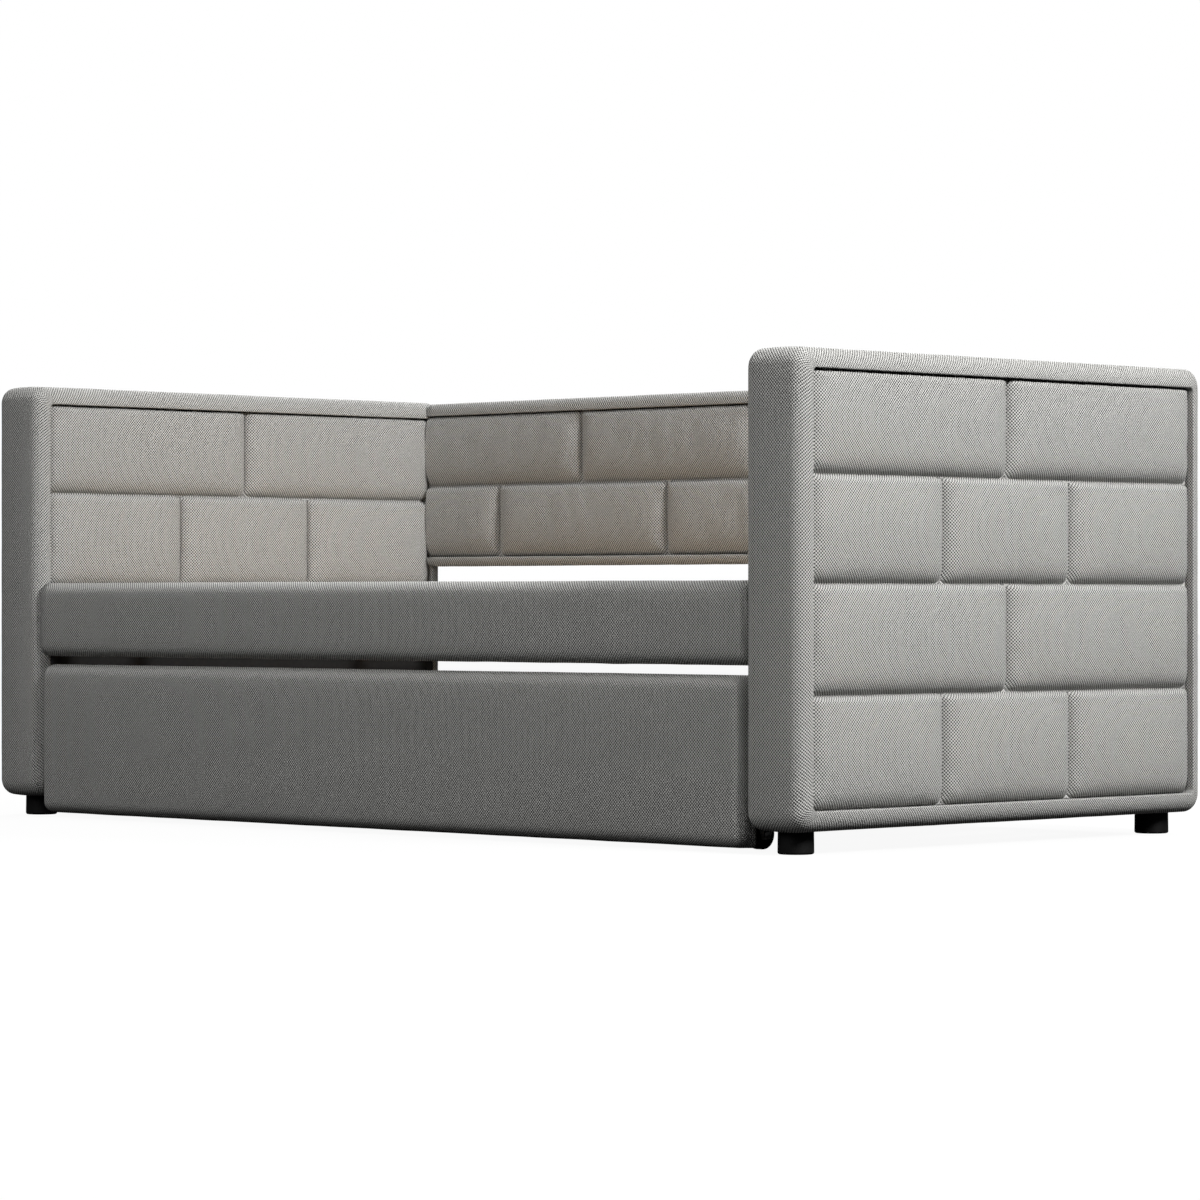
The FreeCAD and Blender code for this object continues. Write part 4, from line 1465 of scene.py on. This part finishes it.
class Repeater:
    """Geometry Nodes tree that sets copies of a part in rows and columns."""

    def __init__(self) -> None:
        """Build the tree."""
        tree = bpy.data.node_groups.new("rows_of_parts", "GeometryNodeTree")
        face = tree.interface
        face.new_socket("Geometry", in_out="INPUT", socket_type="NodeSocketGeometry")
        for label, kind in (("Part", "NodeSocketObject"), ("Finish", "NodeSocketMaterial"),
                            ("Start", "NodeSocketVector"), ("Columns", "NodeSocketInt"),
                            ("Column step", "NodeSocketVector"), ("Rows", "NodeSocketInt"),
                            ("Row step", "NodeSocketVector"), ("Stray", "NodeSocketFloat"),
                            ("Seed", "NodeSocketInt")):
            face.new_socket(label, in_out="INPUT", socket_type=kind)
        face.new_socket("Geometry", in_out="OUTPUT", socket_type="NodeSocketGeometry")
        g = Graph(tree)
        start = g.add("NodeGroupInput").outputs
        columns = g.add("GeometryNodeMeshLine", {
            "Count": start["Columns"], "Start Location": start["Start"],
            "Offset": start["Column step"]}, mode="OFFSET")
        rows = g.add("GeometryNodeMeshLine", {"Count": start["Rows"],
                                              "Offset": start["Row step"]}, mode="OFFSET")
        spread = g.add("GeometryNodeInstanceOnPoints", {"Points": columns.outputs["Mesh"],
                                                        "Instance": rows.outputs["Mesh"]})
        spots = g.add("GeometryNodeRealizeInstances", {0: spread.outputs[0]})
        random = g.add("FunctionNodeRandomValue", {
            "Seed": start["Seed"], "Min": (-1.0, -1.0, 0.0), "Max": (1.0, 1.0, 0.0)},
            data_type="FLOAT_VECTOR")
        move = g.add("GeometryNodeSetPosition", {
            "Geometry": spots.outputs[0],
            "Offset": g.scaled(random.outputs["Value"], start["Stray"])})
        part = g.add("GeometryNodeObjectInfo", {"Object": start["Part"]},
                     transform_space="ORIGINAL")
        copies = g.add("GeometryNodeInstanceOnPoints", {"Points": move.outputs[0],
                                                        "Instance": part.outputs["Geometry"]})
        real = g.add("GeometryNodeRealizeInstances", {0: copies.outputs[0]})
        finish = g.add("GeometryNodeSetMaterial", {"Geometry": real.outputs[0],
                                                   "Material": start["Finish"]})
        g.add("NodeGroupOutput", {0: finish.outputs[0]})
        self.tree = tree

    def run(self, name: str, part: Piece, material: Material,
            start: Point, columns: int,
            column_step: Point, rows: int = 1,
            row_step: Point = (0.0, 0.0, 0.0), stray: float = 0.0, seed: int = 1) -> Piece:
        """Set copies of a part and turn them into one plain mesh.

        Args:
            name: Name of the new piece.
            part: The part, with its own middle at the origin; it is used up.
            material: Finish of the copies.
            start: Place of the first copy.
            columns: Number of copies along the first step.
            column_step: Offset from one to the next.
            rows: Number of copies along the second step.
            row_step: Offset from one to the next.
            stray: How far a copy may sit from its place.
            seed: Which strays.

        Returns:
            The piece.
        """
        piece = add_piece(name, bpy.data.meshes.new(name))
        modifier = piece.modifiers.new("Rows", "NODES")
        modifier.node_group = self.tree
        values = {"Part": part, "Finish": material, "Start": start, "Columns": columns,
                  "Column step": column_step, "Rows": rows, "Row step": row_step,
                  "Stray": stray, "Seed": seed}
        for socket in self.tree.interface.items_tree:
            if socket.in_out == "INPUT" and socket.name in values:
                modifier[socket.identifier] = values[socket.name]
        bake_modifiers(piece)
        piece.data.name = name
        bpy.data.objects.remove(part)
        return piece


def screw_head(radius: float, proud: float, material: Material) -> Piece:
    """A shallow domed screw head, facing up, with a recess for the driver.

    Args:
        radius: Radius of the head.
        proud: Height of the dome.
        material: Its finish.

    Returns:
        The head, with its seat at the origin.
    """
    profile = [(-0.4 * proud, 0.0), (-0.4 * proud, radius), (0.35 * proud, radius),
               (0.8 * proud, 0.72 * radius), (proud, 0.36 * radius), (0.1 * proud, 0.24 * radius),
               (0.0, 0.0)]
    return lathe("head", profile, (0.0, 0.0, 0.0), Axis.Z, material, steps=16)


def staple(width: float, wire: float, material: Material) -> Piece:
    """The crown of a wire staple, lying along X with its legs down.

    Args:
        width: Length of the crown.
        wire: Thickness of the wire.
        material: Its finish.

    Returns:
        The staple, with its middle at the origin.
    """
    half = width / 2
    path = [(-half, -wire * 2), (-half, -wire * 0.2), (-half + wire, wire * 0.5),
            (half - wire, wire * 0.5), (half, -wire * 0.2), (half, -wire * 2)]
    ring = [(math.cos(turn), math.sin(turn)) for turn in np.arange(6) * math.pi / 3]
    rings = np.array([[(x + wire * 0.3 * a * (abs(x) > half - wire / 2) * np.sign(x),
                        wire / 2 * b, z + wire / 2 * a) for a, b in ring] for x, z in path])
    return loft("staple", rings, [0.0] * len(path), material)


# ------------------------------------------------------------------ sub-assemblies


@dataclass
class BrickPlan:
    """Where the seams of the stitched fields run."""

    outer_levels: tuple[float, ...] = (0.076, 0.2745, 0.4686, 0.6579, 0.840)
    halves: tuple[float, ...] = (1 / 2,)
    thirds: tuple[float, ...] = (1 / 3, 2 / 3)
    back_level: float = 0.690
    back_upper: tuple[float, ...] = (-1.006, -0.503, 0.0, 0.503, 1.006)
    back_lower: tuple[float, ...] = (-1.257, -0.7545, -0.2515, 0.2515, 0.7545, 1.257)

    def arm_bricks(self, width: float, low: float, high: float) -> list[Brick]:
        """Bricks of an arm's field: rows of halves and thirds by turns, halves at the top.

        Args:
            width: Width of the field.
            low: Height of its lower edge.
            high: Height of its upper edge.

        Returns:
            Bricks in the field's own frame.
        """
        inside = [level for level in self.outer_levels if low + 0.02 < level < high - 0.02]
        levels = [0.0, *(level - low for level in inside), high - low]
        rows = len(levels) - 1
        cuts = []
        for row in range(rows):
            from_top = rows - 1 - row
            shares = self.halves if from_top % 2 == 0 else self.thirds
            cuts.append([share * width for share in shares])
        return brick_rows(width, levels, cuts)

    def back_bricks(self, low_x: float, low: float, high: float) -> list[Brick]:
        """Bricks of the back, the outermost of which run on behind the arms.

        Args:
            low_x: The field's left end.
            low: Height of its lower edge.
            high: Height of its upper edge.

        Returns:
            Bricks in the field's own frame.
        """
        bricks = []
        for seams, bottom, top in ((self.back_lower, 0.0, self.back_level - low),
                                   (self.back_upper, self.back_level - low, high - low)):
            edges = [seam - low_x for seam in seams]
            bricks.extend(Brick(left, right, bottom, top)
                          for left, right in zip(edges, edges[1:]))
        return bricks


@dataclass
class Arm:
    """One padded arm: its border strip, stitched pads, lower panel and hidden frame."""

    side: Side
    finishes: Finishes
    plan: BrickPlan
    outer_rise: Lift
    inner_rise: Lift
    edge_round: float = 0.028
    seam_turn: float = 0.0018
    corner_round: float = 0.030
    field_corner: float = 0.009
    crown: float = 0.0012
    ring_step: float = 0.022
    arc_parts: int = 8

    def box(self, part: str) -> tuple[Vector, Vector]:
        """Corners of one of this arm's frame nodes."""
        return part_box(f"{self.side.word}_arm_{part}")

    def build(self) -> None:
        """Make every piece of the arm."""
        self.border()
        self.pad("outer_pad", self.side.value, self.outer_rise, 11)
        self.pad("inner_pad", -self.side.value, self.inner_rise, 23)
        self.panel()
        for material, parts in (
                (self.finishes.timber_y, ("bottom_rail", "top_rail", "middle_rail")),
                (self.finishes.timber_z,
                 ("front_stile", "rear_stile", "outer_board", "inner_board"))):
            dress(material, *(f"{self.side.word}_arm_{part}" for part in parts))

    def border(self) -> None:
        """Padded strip round the narrow sides, rolled over on to both fields."""
        low, high = self.box("border")
        field_low, field_high = self.box("outer_pad")
        core_low, _ = self.box("outer_board")
        thick = high.x - low.x
        lip = abs(field_high.x - field_low.x)
        side_inset = field_low.y - low.y
        level_inset = field_low.z - low.z
        core = core_low.y - low.y
        outline = rounded_outline(
            [(0, side_inset), (0, 0), (thick, 0), (thick, side_inset),
             (thick - lip, side_inset), (thick - lip, core), (lip, core), (lip, side_inset)],
            [self.seam_turn, self.edge_round, self.edge_round, self.seam_turn, 0, 0, 0, 0])
        middle = (outline[:, 0] - thick / 2) / (thick / 2 - self.edge_round)
        bulge = np.clip(1 - middle ** 2, 0, 1)
        outline[:, 1] -= self.crown * bulge * (outline[:, 1] < 1e-6)
        half_y, half_z = (high.y - low.y) / 2, (high.z - low.z) / 2
        loops = [self.loop(half_y - inset, half_z - inset * level_inset / side_inset,
                           self.field_corner + (self.corner_round - self.field_corner)
                           * max(0.0, 1 - inset / side_inset))
                 for _, inset in outline]
        middle_y, middle_z = (low.y + high.y) / 2, (low.z + high.z) / 2
        rings = np.array([[(low.x + outline[k, 0], middle_y + loops[k][r][0],
                            middle_z + loops[k][r][1]) for k in range(len(outline))]
                          for r in range(len(loops[0]))])
        outer = np.array(self.loop(half_y, half_z, self.corner_round))
        gaps = np.linalg.norm(np.diff(np.vstack([outer, outer[:1]]), axis=0), axis=1)
        stations = np.concatenate([[0.0], np.cumsum(gaps)])
        name = f"{self.side.word}_arm_border_strip"
        piece = loft(name, rings, stations, self.finishes.cloth, wrap=True)
        crumple(piece, amount=0.0007, wavelength=0.11, seed=31 + self.side.value)
        settle(piece, Body.BED, f"{self.side.word}_arm_border")

    def loop(self, half_y: float, half_z: float, radius: float) -> list[tuple[float, float]]:
        """A rounded rectangle with the same number of points whatever its size.

        Args:
            half_y: Half its width.
            half_z: Half its height.
            radius: Rounding of its corners.

        Returns:
            Points in order.
        """
        low, high = self.box("border")
        across = math.ceil((high.y - low.y) / self.ring_step)
        upward = math.ceil((high.z - low.z) / self.ring_step)
        points = []
        centres = ((1, -1, -90, upward), (1, 1, 0, across), (-1, 1, 90, upward),
                   (-1, -1, 180, across))
        for index, (sign_y, sign_z, turn, run) in enumerate(centres):
            next_y, next_z = centres[(index + 1) % 4][:2]
            arc = [self.spoke(sign_y * (half_y - radius), sign_z * (half_z - radius), radius,
                              turn + 90 * part / self.arc_parts)
                   for part in range(self.arc_parts + 1)]
            points.extend(arc)
            start = arc[-1]
            stop = self.spoke(next_y * (half_y - radius), next_z * (half_z - radius), radius,
                              turn + 90)
            points.extend((start[0] + (stop[0] - start[0]) * part / run,
                           start[1] + (stop[1] - start[1]) * part / run)
                          for part in range(1, run))
        return points

    @staticmethod
    def spoke(across: float, up: float, radius: float, degrees: float) -> tuple[float, float]:
        """Point at an angle on a circle round a centre."""
        angle = math.radians(degrees)
        return across + radius * math.cos(angle), up + radius * math.sin(angle)

    def pad(self, part: str, facing: int, rise: Lift, seed: int) -> None:
        """One stitched field.

        Args:
            part: Frame node, without the side.
            facing: Which way along X it faces.
            rise: Cloth rise over the field.
            seed: Unevenness of this pad.
        """
        low, high = self.box(part)
        width, height, thick = high.y - low.y, high.z - low.z, high.x - low.x
        if facing > 0:
            plane = Plane((low.x, low.y, low.z), (0, 1, 0), (0, 0, 1), (1, 0, 0))
        else:
            plane = Plane((high.x, high.y, low.z), (0, -1, 0), (0, 0, 1), (-1, 0, 0))
        pad = BrickPad(f"{self.side.word}_arm_{part.replace('pad', 'bricks')}", plane, width,
                       height, thick, self.plan.arm_bricks(width, low.z, high.z), rise,
                       seed=seed + self.side.value)
        piece = pad.build(self.finishes.cloth)
        settle(piece, Body.BED, f"{self.side.word}_arm_{part}")

    def panel(self) -> None:
        """Cloth over the board below the inner field, near-black as painted shade for the dark
        space below the deck.
        """
        piece = sheet(f"{self.side.word}_arm_dust_panel", *self.box("lower_panel"), (3, 40, 16),
                      self.finishes.lining)
        crumple(piece, amount=0.0005, wavelength=0.2, seed=41)
        settle(piece, Body.BED, f"{self.side.word}_arm_lower_panel")


@dataclass
class Foot:
    """A turned black foot."""

    end: End
    side: Side
    finishes: Finishes
    toe_round: float = 0.004
    neck_round: float = 0.0012
    taper: float = 0.985

    def build(self) -> None:
        """Make the foot."""
        node = f"{self.end.word}_{self.side.word}_foot"
        low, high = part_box(node)
        radius, tall = (high.x - low.x) / 2, high.z - low.z
        solid = rounded_outline(
            [(0, -radius), (0, radius), (tall, radius * self.taper), (tall, -radius)],
            [0, self.toe_round, self.neck_round, 0], step=0.01)
        profile = [(0.0, 0.0)] + [tuple(point) for point in solid if point[1] > 1e-6]
        profile.append((tall, 0.0))
        centre = ((low.x + high.x) / 2, (low.y + high.y) / 2, low.z)
        piece = lathe(f"{node}_turned", profile, centre, Axis.Z, self.finishes.foot, steps=64)
        piece.data.set_sharp_from_angle(angle=math.radians(50))
        settle(piece, Body.BED, node)


@dataclass
class Rail:
    """A padded rail along the bed's front or rear."""

    end: End
    finishes: Finishes
    face_round: float = 0.022
    inner_round: float = 0.005
    crown: float = 0.0035

    def build(self) -> None:
        """Make the cover and the timber that shows behind it."""
        word, sign = self.end.word, self.end.value
        low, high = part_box(f"{word}_rail_cover")
        board_low, board_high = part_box(f"{word}_rail_board")
        deep, tall = high.y - low.y, high.z - low.z
        board = board_high.y - board_low.y
        lip = board_low.z - low.z
        outline = rounded_outline(
            [(0, 0), (deep, 0), (deep, lip), (deep - board, lip), (deep - board, tall - lip),
             (deep, tall - lip), (deep, tall), (0, tall)],
            [self.face_round, self.inner_round, 0, 0, 0, 0, self.inner_round, self.face_round])
        share = np.clip((outline[:, 1] / tall) * 2 - 1, -1, 1)
        outline[:, 0] -= self.crown * (1 - share ** 4) * (outline[:, 0] < 0.3 * self.face_round)
        outline[:, 0] = low.y + outline[:, 0] if sign < 0 else high.y - outline[:, 0]
        outline[:, 1] += low.z
        piece = strip_along_x(f"{word}_rail_cushion", outline, low.x, high.x, self.finishes.cloth)
        crumple(piece, amount=0.0009, wavelength=0.14, seed=53 + sign)
        settle(piece, Body.BED, f"{word}_rail_cover")
        settle_copies(Body.BED, (f"{word}_rail_board", f"{word}_rail_timber",
                                 self.finishes.timber_x, 0.0004, "timber"))


@dataclass
class Back:
    """The stitched back panel."""

    finishes: Finishes
    plan: BrickPlan
    rise: Lift
    front_round: float = 0.016
    rear_round: float = 0.008
    seam_turn: float = 0.0018
    end_wrap: float = 0.0012

    def build(self) -> None:
        """Make the pad, its borders and the rear cover, and finish the hidden timber."""
        cloth = self.finishes.cloth
        low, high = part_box("back_pad")
        plane = Plane((low.x, high.y, low.z), (1, 0, 0), (0, 0, 1), (0, -1, 0))
        bricks = self.plan.back_bricks(low.x, low.z, high.z)
        pad = BrickPad("back_bricks", plane, high.x - low.x, high.z - low.z, high.y - low.y,
                       bricks, self.rise, depth=0.0155, side_roll=0.030,
                       side_groove=0.0024, side_power=0.45, lower_roll=0.040, crown=0.0055,
                       seed=61)
        settle(pad.build(cloth), Body.BED, "back_pad")
        self.borders(low, high)
        cover_low, cover_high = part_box("back_rear_cover")
        board_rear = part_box("back_board")[1].y
        wraps = [(cover_low.x, cover_high.x, 90, cover_low.y),
                 (cover_low.x - self.end_wrap, cover_low.x, 2, board_rear),
                 (cover_high.x, cover_high.x + self.end_wrap, 2, board_rear)]
        parts = [sheet("wrap", (start_x, start_y, cover_low.z), (stop_x, *cover_high.yz),
                       (lines, 4, 20), cloth)
                 for start_x, stop_x, lines, start_y in wraps]
        cover = join("back_rear_cloth", parts)
        crumple(cover, amount=0.0005, wavelength=0.18, seed=67)
        settle(cover, Body.BED, "back_rear_cover")
        dress(self.finishes.timber_x, "back_bottom_rail", "back_top_rail", "back_board")
        dress(self.finishes.timber_z, "back_stiles")

    def borders(self, field_low: Vector, field_high: Vector) -> None:
        """Plain strips under and over the stitched field, wrapped to the rear.

        Args:
            field_low: Low corner of the field.
            field_high: High corner of the field.
        """
        low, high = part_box("back_border")
        board_low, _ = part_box("back_board")
        deep, tall = high.y - low.y, high.z - low.z
        pad = field_high.y - field_low.y
        lip = board_low.z - low.z
        strips = []
        for label, edge, seam in (("lower", 0.0, field_low.z - low.z),
                                  ("upper", tall, field_high.z - low.z)):
            step_in = edge + lip if label == "lower" else edge - lip
            outline = rounded_outline(
                [(0, edge), (deep, edge), (deep, step_in), (pad, step_in), (pad, seam), (0, seam)],
                [self.front_round, self.rear_round, 0, 0, 0, self.seam_turn])
            outline += np.array([low.y, low.z])
            strips.append(strip_along_x(f"back_{label}_strip", outline, low.x, high.x,
                                        self.finishes.cloth))
        piece = join("back_border_strips", strips)
        crumple(piece, amount=0.0006, wavelength=0.12, seed=71)
        settle(piece, Body.BED, "back_border")


@dataclass
class SlatDeck:
    """A row of slats on ledgers, with a screw at each end of each slat."""

    node: str
    body: Body
    finishes: Finishes
    repeater: Repeater
    count: int = 14
    slat_width: float = 0.070
    edge_round: float = 0.004
    screw_inset: float = 0.014
    screw_radius: float = 0.0042
    screw_proud: float = 0.0012
    screw_stray: float = 0.0015

    @property
    def step(self) -> float:
        """Gap from one slat to the next, middle to middle."""
        low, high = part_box(self.node)
        return (high.x - low.x - self.slat_width) / (self.count - 1)

    def build(self) -> None:
        """Make the slats and their screws."""
        low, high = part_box(self.node)
        half, tall, deep = self.slat_width / 2, high.z - low.z, high.y - low.y
        outline = rounded_outline([(-half, 0), (half, 0), (half, tall), (-half, tall)],
                                  [self.edge_round * 0.5] * 2 + [self.edge_round] * 2,
                                  step=0.02, arc_steps=4)
        stations = np.linspace(0, deep, 9)
        rings = np.array([np.column_stack([outline[:, 0], np.full(len(outline), y),
                                           outline[:, 1]]) for y in stations])
        one = loft("slat", rings, stations, self.finishes.slat)
        one.data.set_sharp_from_angle(angle=math.radians(60))
        first = low.x + half
        slats = self.repeater.run(f"{self.node}_row", one, self.finishes.slat,
                                  (first, low.y, low.z), self.count, (self.step, 0.0, 0.0))
        settle(slats, self.body, self.node)
        head = screw_head(self.screw_radius, self.screw_proud, self.finishes.steel)
        screws = self.repeater.run(f"{self.node}_screws", head, self.finishes.steel,
                                   (first, low.y + self.screw_inset, high.z), self.count,
                                   (self.step, 0.0, 0.0), 2,
                                   (0.0, deep - 2 * self.screw_inset, 0.0),
                                   stray=self.screw_stray, seed=7)
        settle(screws, self.body)


@dataclass
class UpperDeck:
    """Slats, ledgers, tapes and angles of the upper bed."""

    finishes: Finishes
    repeater: Repeater
    tape_width: float = 0.040
    staple_width: float = 0.010
    staple_wire: float = 0.0009
    staple_stray: float = 0.003

    def build(self) -> None:
        """Make every piece of the deck."""
        looks = self.finishes
        deck = SlatDeck("deck_slats", Body.BED, looks, self.repeater)
        deck.build()
        settle_copies(Body.BED, ("slat_ledgers", "slat_ledger_strips", looks.timber_x, 0.0015,
                                 "timber"))
        self.tapes(deck)
        settle_copies(
            Body.BED,
            ("rail_brackets", "rail_angles", looks.zinc, 0.0006, "bracket_steel"),
            ("rail_bolts", "rail_bolt_heads", looks.steel, 0.0010, "fastener_steel"),
            ("rail_screws", "rail_screw_heads", looks.steel, 0.0006, "fastener_steel"))
        dress(looks.steel, "back_bolts", "foot_studs")

    def tapes(self, deck: SlatDeck) -> None:
        """Webbing under the slats with a staple at each.

        Args:
            deck: The slats that the tapes join.
        """
        low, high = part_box("slat_tapes")
        width, edge = self.tape_width, (high.z - low.z) * 0.45
        strips = []
        for start in (low.y, high.y - width):
            outline = rounded_outline([(start, low.z), (start + width, low.z),
                                       (start + width, high.z), (start, high.z)],
                                      [edge] * 4, arc_steps=3)
            strips.append(strip_along_x("tape", outline, low.x, high.x, self.finishes.webbing))
        settle(join("slat_tape_strips", strips), Body.BED, "slat_tapes")
        one = staple(self.staple_width, self.staple_wire, self.finishes.steel)
        one.data.transform(Matrix.Rotation(math.pi, 4, "X"))
        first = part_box("deck_slats")[0].x + deck.slat_width / 2
        row = self.repeater.run("tape_staples", one, self.finishes.steel,
                                (first, low.y + width / 2, low.z), deck.count,
                                (deck.step, 0.0, 0.0), 2,
                                (0.0, high.y - low.y - width, 0.0),
                                stray=self.staple_stray, seed=13)
        settle(row, Body.BED)


@dataclass
class Trundle:
    """The rolling lower bed: padded front, boards, ledgers, slats and casters."""

    finishes: Finishes
    repeater: Repeater
    front_round: float = 0.024
    end_round: float = 0.020
    bore: float = 0.00405
    hub: float = 0.009
    rim_thick: float = 0.0075
    web: float = 0.005
    tread_round: float = 0.004
    edge_round: float = 0.0008
    web_round: float = 0.001

    def build(self) -> None:
        """Make every piece of the trundle."""
        looks = self.finishes
        self.front()
        settle_copies(Body.TRUNDLE, *(
            (node, f"{node}_{ending}", material, bevel, slot)
            for node, ending, material, bevel, slot in (
                ("trundle_left_side", "panel", looks.board_y, 0.0012, "trundle_board"),
                ("trundle_right_side", "panel", looks.board_y, 0.0012, "trundle_board"),
                ("trundle_rear_rail", "panel", looks.board, 0.0012, "trundle_board"),
                ("trundle_front_board", "timber", looks.timber_x, 0.0015, "timber"),
                ("trundle_ledgers", "timber", looks.timber_x, 0.0015, "timber"),
                ("trundle_bearers", "timber", looks.timber_y, 0.0015, "timber"))))
        SlatDeck("trundle_slats", Body.TRUNDLE, looks, self.repeater).build()
        settle_copies(
            Body.TRUNDLE,
            ("caster_forks", "caster_cheeks", looks.zinc, 0.0007, "bracket_steel"),
            ("caster_axles", "caster_pins", looks.steel, 0.0007, "fastener_steel"),
            ("caster_screws", "caster_screw_heads", looks.steel, 0.0006, "fastener_steel"))
        for end in End:
            for side in Side:
                self.wheel(end, side)

    def front(self) -> None:
        """Padded front panel."""
        low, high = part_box("trundle_front_cover")
        board_low, board_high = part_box("trundle_front_board")
        lip = board_low.z - low.z
        deep = board_high.y - board_low.y
        slab = SoftSlab("trundle_front_cushion", low, high, (lip, lip, deep),
                        face_round=self.front_round, end_round=self.end_round)
        piece = slab.build(self.finishes.cloth)
        settle(piece, Body.TRUNDLE, "trundle_front_cover")

    def wheel(self, end: End, side: Side) -> None:
        """One wheel with a rounded tread and a recessed web.

        Args:
            end: Front or rear wheel.
            side: Left or right wheel.
        """
        node = f"{end.word}_{side.word}_wheel"
        low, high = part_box(node)
        half, radius = (high.x - low.x) / 2, (high.z - low.z) / 2
        rim, web = radius - self.rim_thick, self.web
        outer = [(half, self.bore), (half, self.hub), (web, self.hub), (web, rim), (half, rim),
                 (half, radius)]
        rounds = [0.0, self.edge_round, self.web_round, self.web_round, self.edge_round,
                  self.tread_round]
        profile = rounded_outline(outer + [(-x, y) for x, y in reversed(outer)],
                                  rounds + rounds[::-1], step=0.01, arc_steps=5)
        centre = tuple((low + high) / 2)
        piece = lathe(f"{node}_moulding", [tuple(point) for point in profile], centre, Axis.X,
                      self.finishes.wheel, steps=64)
        piece.data.set_sharp_from_angle(angle=math.radians(40))
        settle(piece, node, node)


# ------------------------------------------------------------------ studio


@dataclass(frozen=True)
class Lamp:
    """A square soft box, at a distance in some direction from what it is aimed at."""

    name: str
    way: Point
    distance: float
    size: float
    power: float

    def hang(self, centre: Vector) -> None:
        """Put the lamp in the scene.

        Args:
            centre: What it is aimed at.
        """
        data = bpy.data.lights.new(self.name, "AREA")
        data.size = self.size
        data.energy = self.power
        lamp = add_piece(self.name, data)
        way = Vector(self.way)
        lamp.location = centre + way.normalized() * self.distance
        lamp.rotation_euler = (-way).to_track_quat("-Z", "Y").to_euler()


@dataclass
class Studio:
    """Floor, lights, world and camera."""

    lamps: tuple[Lamp, ...] = (
        Lamp("key", way=(0.80, -0.03, 0.60), distance=6.6, size=1.8, power=575.0),
        Lamp("fill", way=(0.10, -0.85, 0.60), distance=6.0, size=3.0, power=132.0),
        Lamp("rear", way=(-0.62, 0.62, 0.50), distance=7.0, size=2.5, power=480.0))
    centre: Point = (0.3, -0.1, 0.45)
    ambient: float = 0.38
    floor_reach: float = 40.0
    floor_greys: tuple[float, float] = (0.78, 0.84)
    floor_glow: float = 0.93
    floor_bounce: float = 0.03
    camera_at: Point = (6.297, -6.3085, 0.440)
    camera_turn: float = 44.62
    lens: float = 135.5

    def build(self) -> None:
        """Set everything up."""
        self.floor()
        for lamp in self.lamps:
            lamp.hang(Vector(self.centre))
        self.world()
        data = bpy.data.cameras.new("camera")
        data.lens = self.lens
        data.sensor_width = 36.0
        data.clip_end = 60.0
        camera = add_piece("camera", data)
        camera.location = self.camera_at
        camera.rotation_euler = (math.pi / 2, 0.0, math.radians(self.camera_turn))
        bpy.context.scene.camera = camera
        bpy.context.scene.view_settings.view_transform = "Standard"

    def world(self) -> None:
        """White behind the bed, and a dimmer white all round as light."""
        world = bpy.data.worlds.new("studio")
        world.use_nodes = True
        g = Graph(world.node_tree)
        axes = g.add("ShaderNodeSeparateXYZ", {0: g.place("Generated")}).outputs
        dome = g.math("MULTIPLY", g.math("MAXIMUM", axes[2], 0.0), self.ambient)
        path = g.add("ShaderNodeLightPath").outputs
        g.feed(world.node_tree.nodes["Background"].inputs, {
            "Color": (1.0, 1.0, 1.0, 1.0),
            "Strength": g.blend(path["Is Camera Ray"], dome, 1.0)})
        bpy.context.scene.world = world

    def floor(self) -> None:
        """Pale floor that stays close to white where it is seen."""
        far = self.floor_reach
        vertices = np.array([(-far, -far, 0), (far, -far, 0), (far, far, 0), (-far, far, 0)])
        g = Surface("pale_floor")
        low, high = (grey(level) for level in self.floor_greys)
        g.look(Base_Color=g.tint(g.noise(g.place("Object"), 1.5, 3.0), low, high), Roughness=0.9)
        glow = g.add("ShaderNodeEmission", {"Strength": 1.0})
        dim = g.add("ShaderNodeBsdfDiffuse", {"Color": grey(self.floor_bounce)})
        seen = g.add("ShaderNodeMixShader", {0: self.floor_glow, 1: g.shader.outputs[0],
                                             2: glow.outputs[0]})
        path = g.add("ShaderNodeLightPath").outputs
        both = g.add("ShaderNodeMixShader", {0: path["Is Camera Ray"], 1: dim.outputs[0],
                                             2: seen.outputs[0]})
        g.feed(g.tree.nodes["Material Output"].inputs, {"Surface": both.outputs[0]})
        make_object("floor", vertices, [(0, 1, 2, 3)], None, g.material)


def main() -> None:
    """Build the whole bed and the studio round it."""
    finishes = Finishes()
    repeater = Repeater()
    plan = BrickPlan()
    fields = []
    for part in ("outer", "inner"):
        low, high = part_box(f"right_arm_{part}_pad")
        width = high.y - low.y
        fields.append(PuffSheet(width, high.z - low.z,
                                plan.arm_bricks(width, low.z, high.z)).blow())
    outer, inner = fields
    low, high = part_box("back_pad")
    back = PuffSheet(high.x - low.x, high.z - low.z,
                     plan.back_bricks(low.x, low.z, high.z)).blow()
    for side in Side:
        Arm(side, finishes, plan, outer, inner).build()
        for end in End:
            Foot(end, side, finishes).build()
    for end in End:
        Rail(end, finishes).build()
    UpperDeck(finishes, repeater).build()
    Back(finishes, plan, back).build()
    Trundle(finishes, repeater).build()
    Studio().build()


if __name__ == "__main__":
    main()
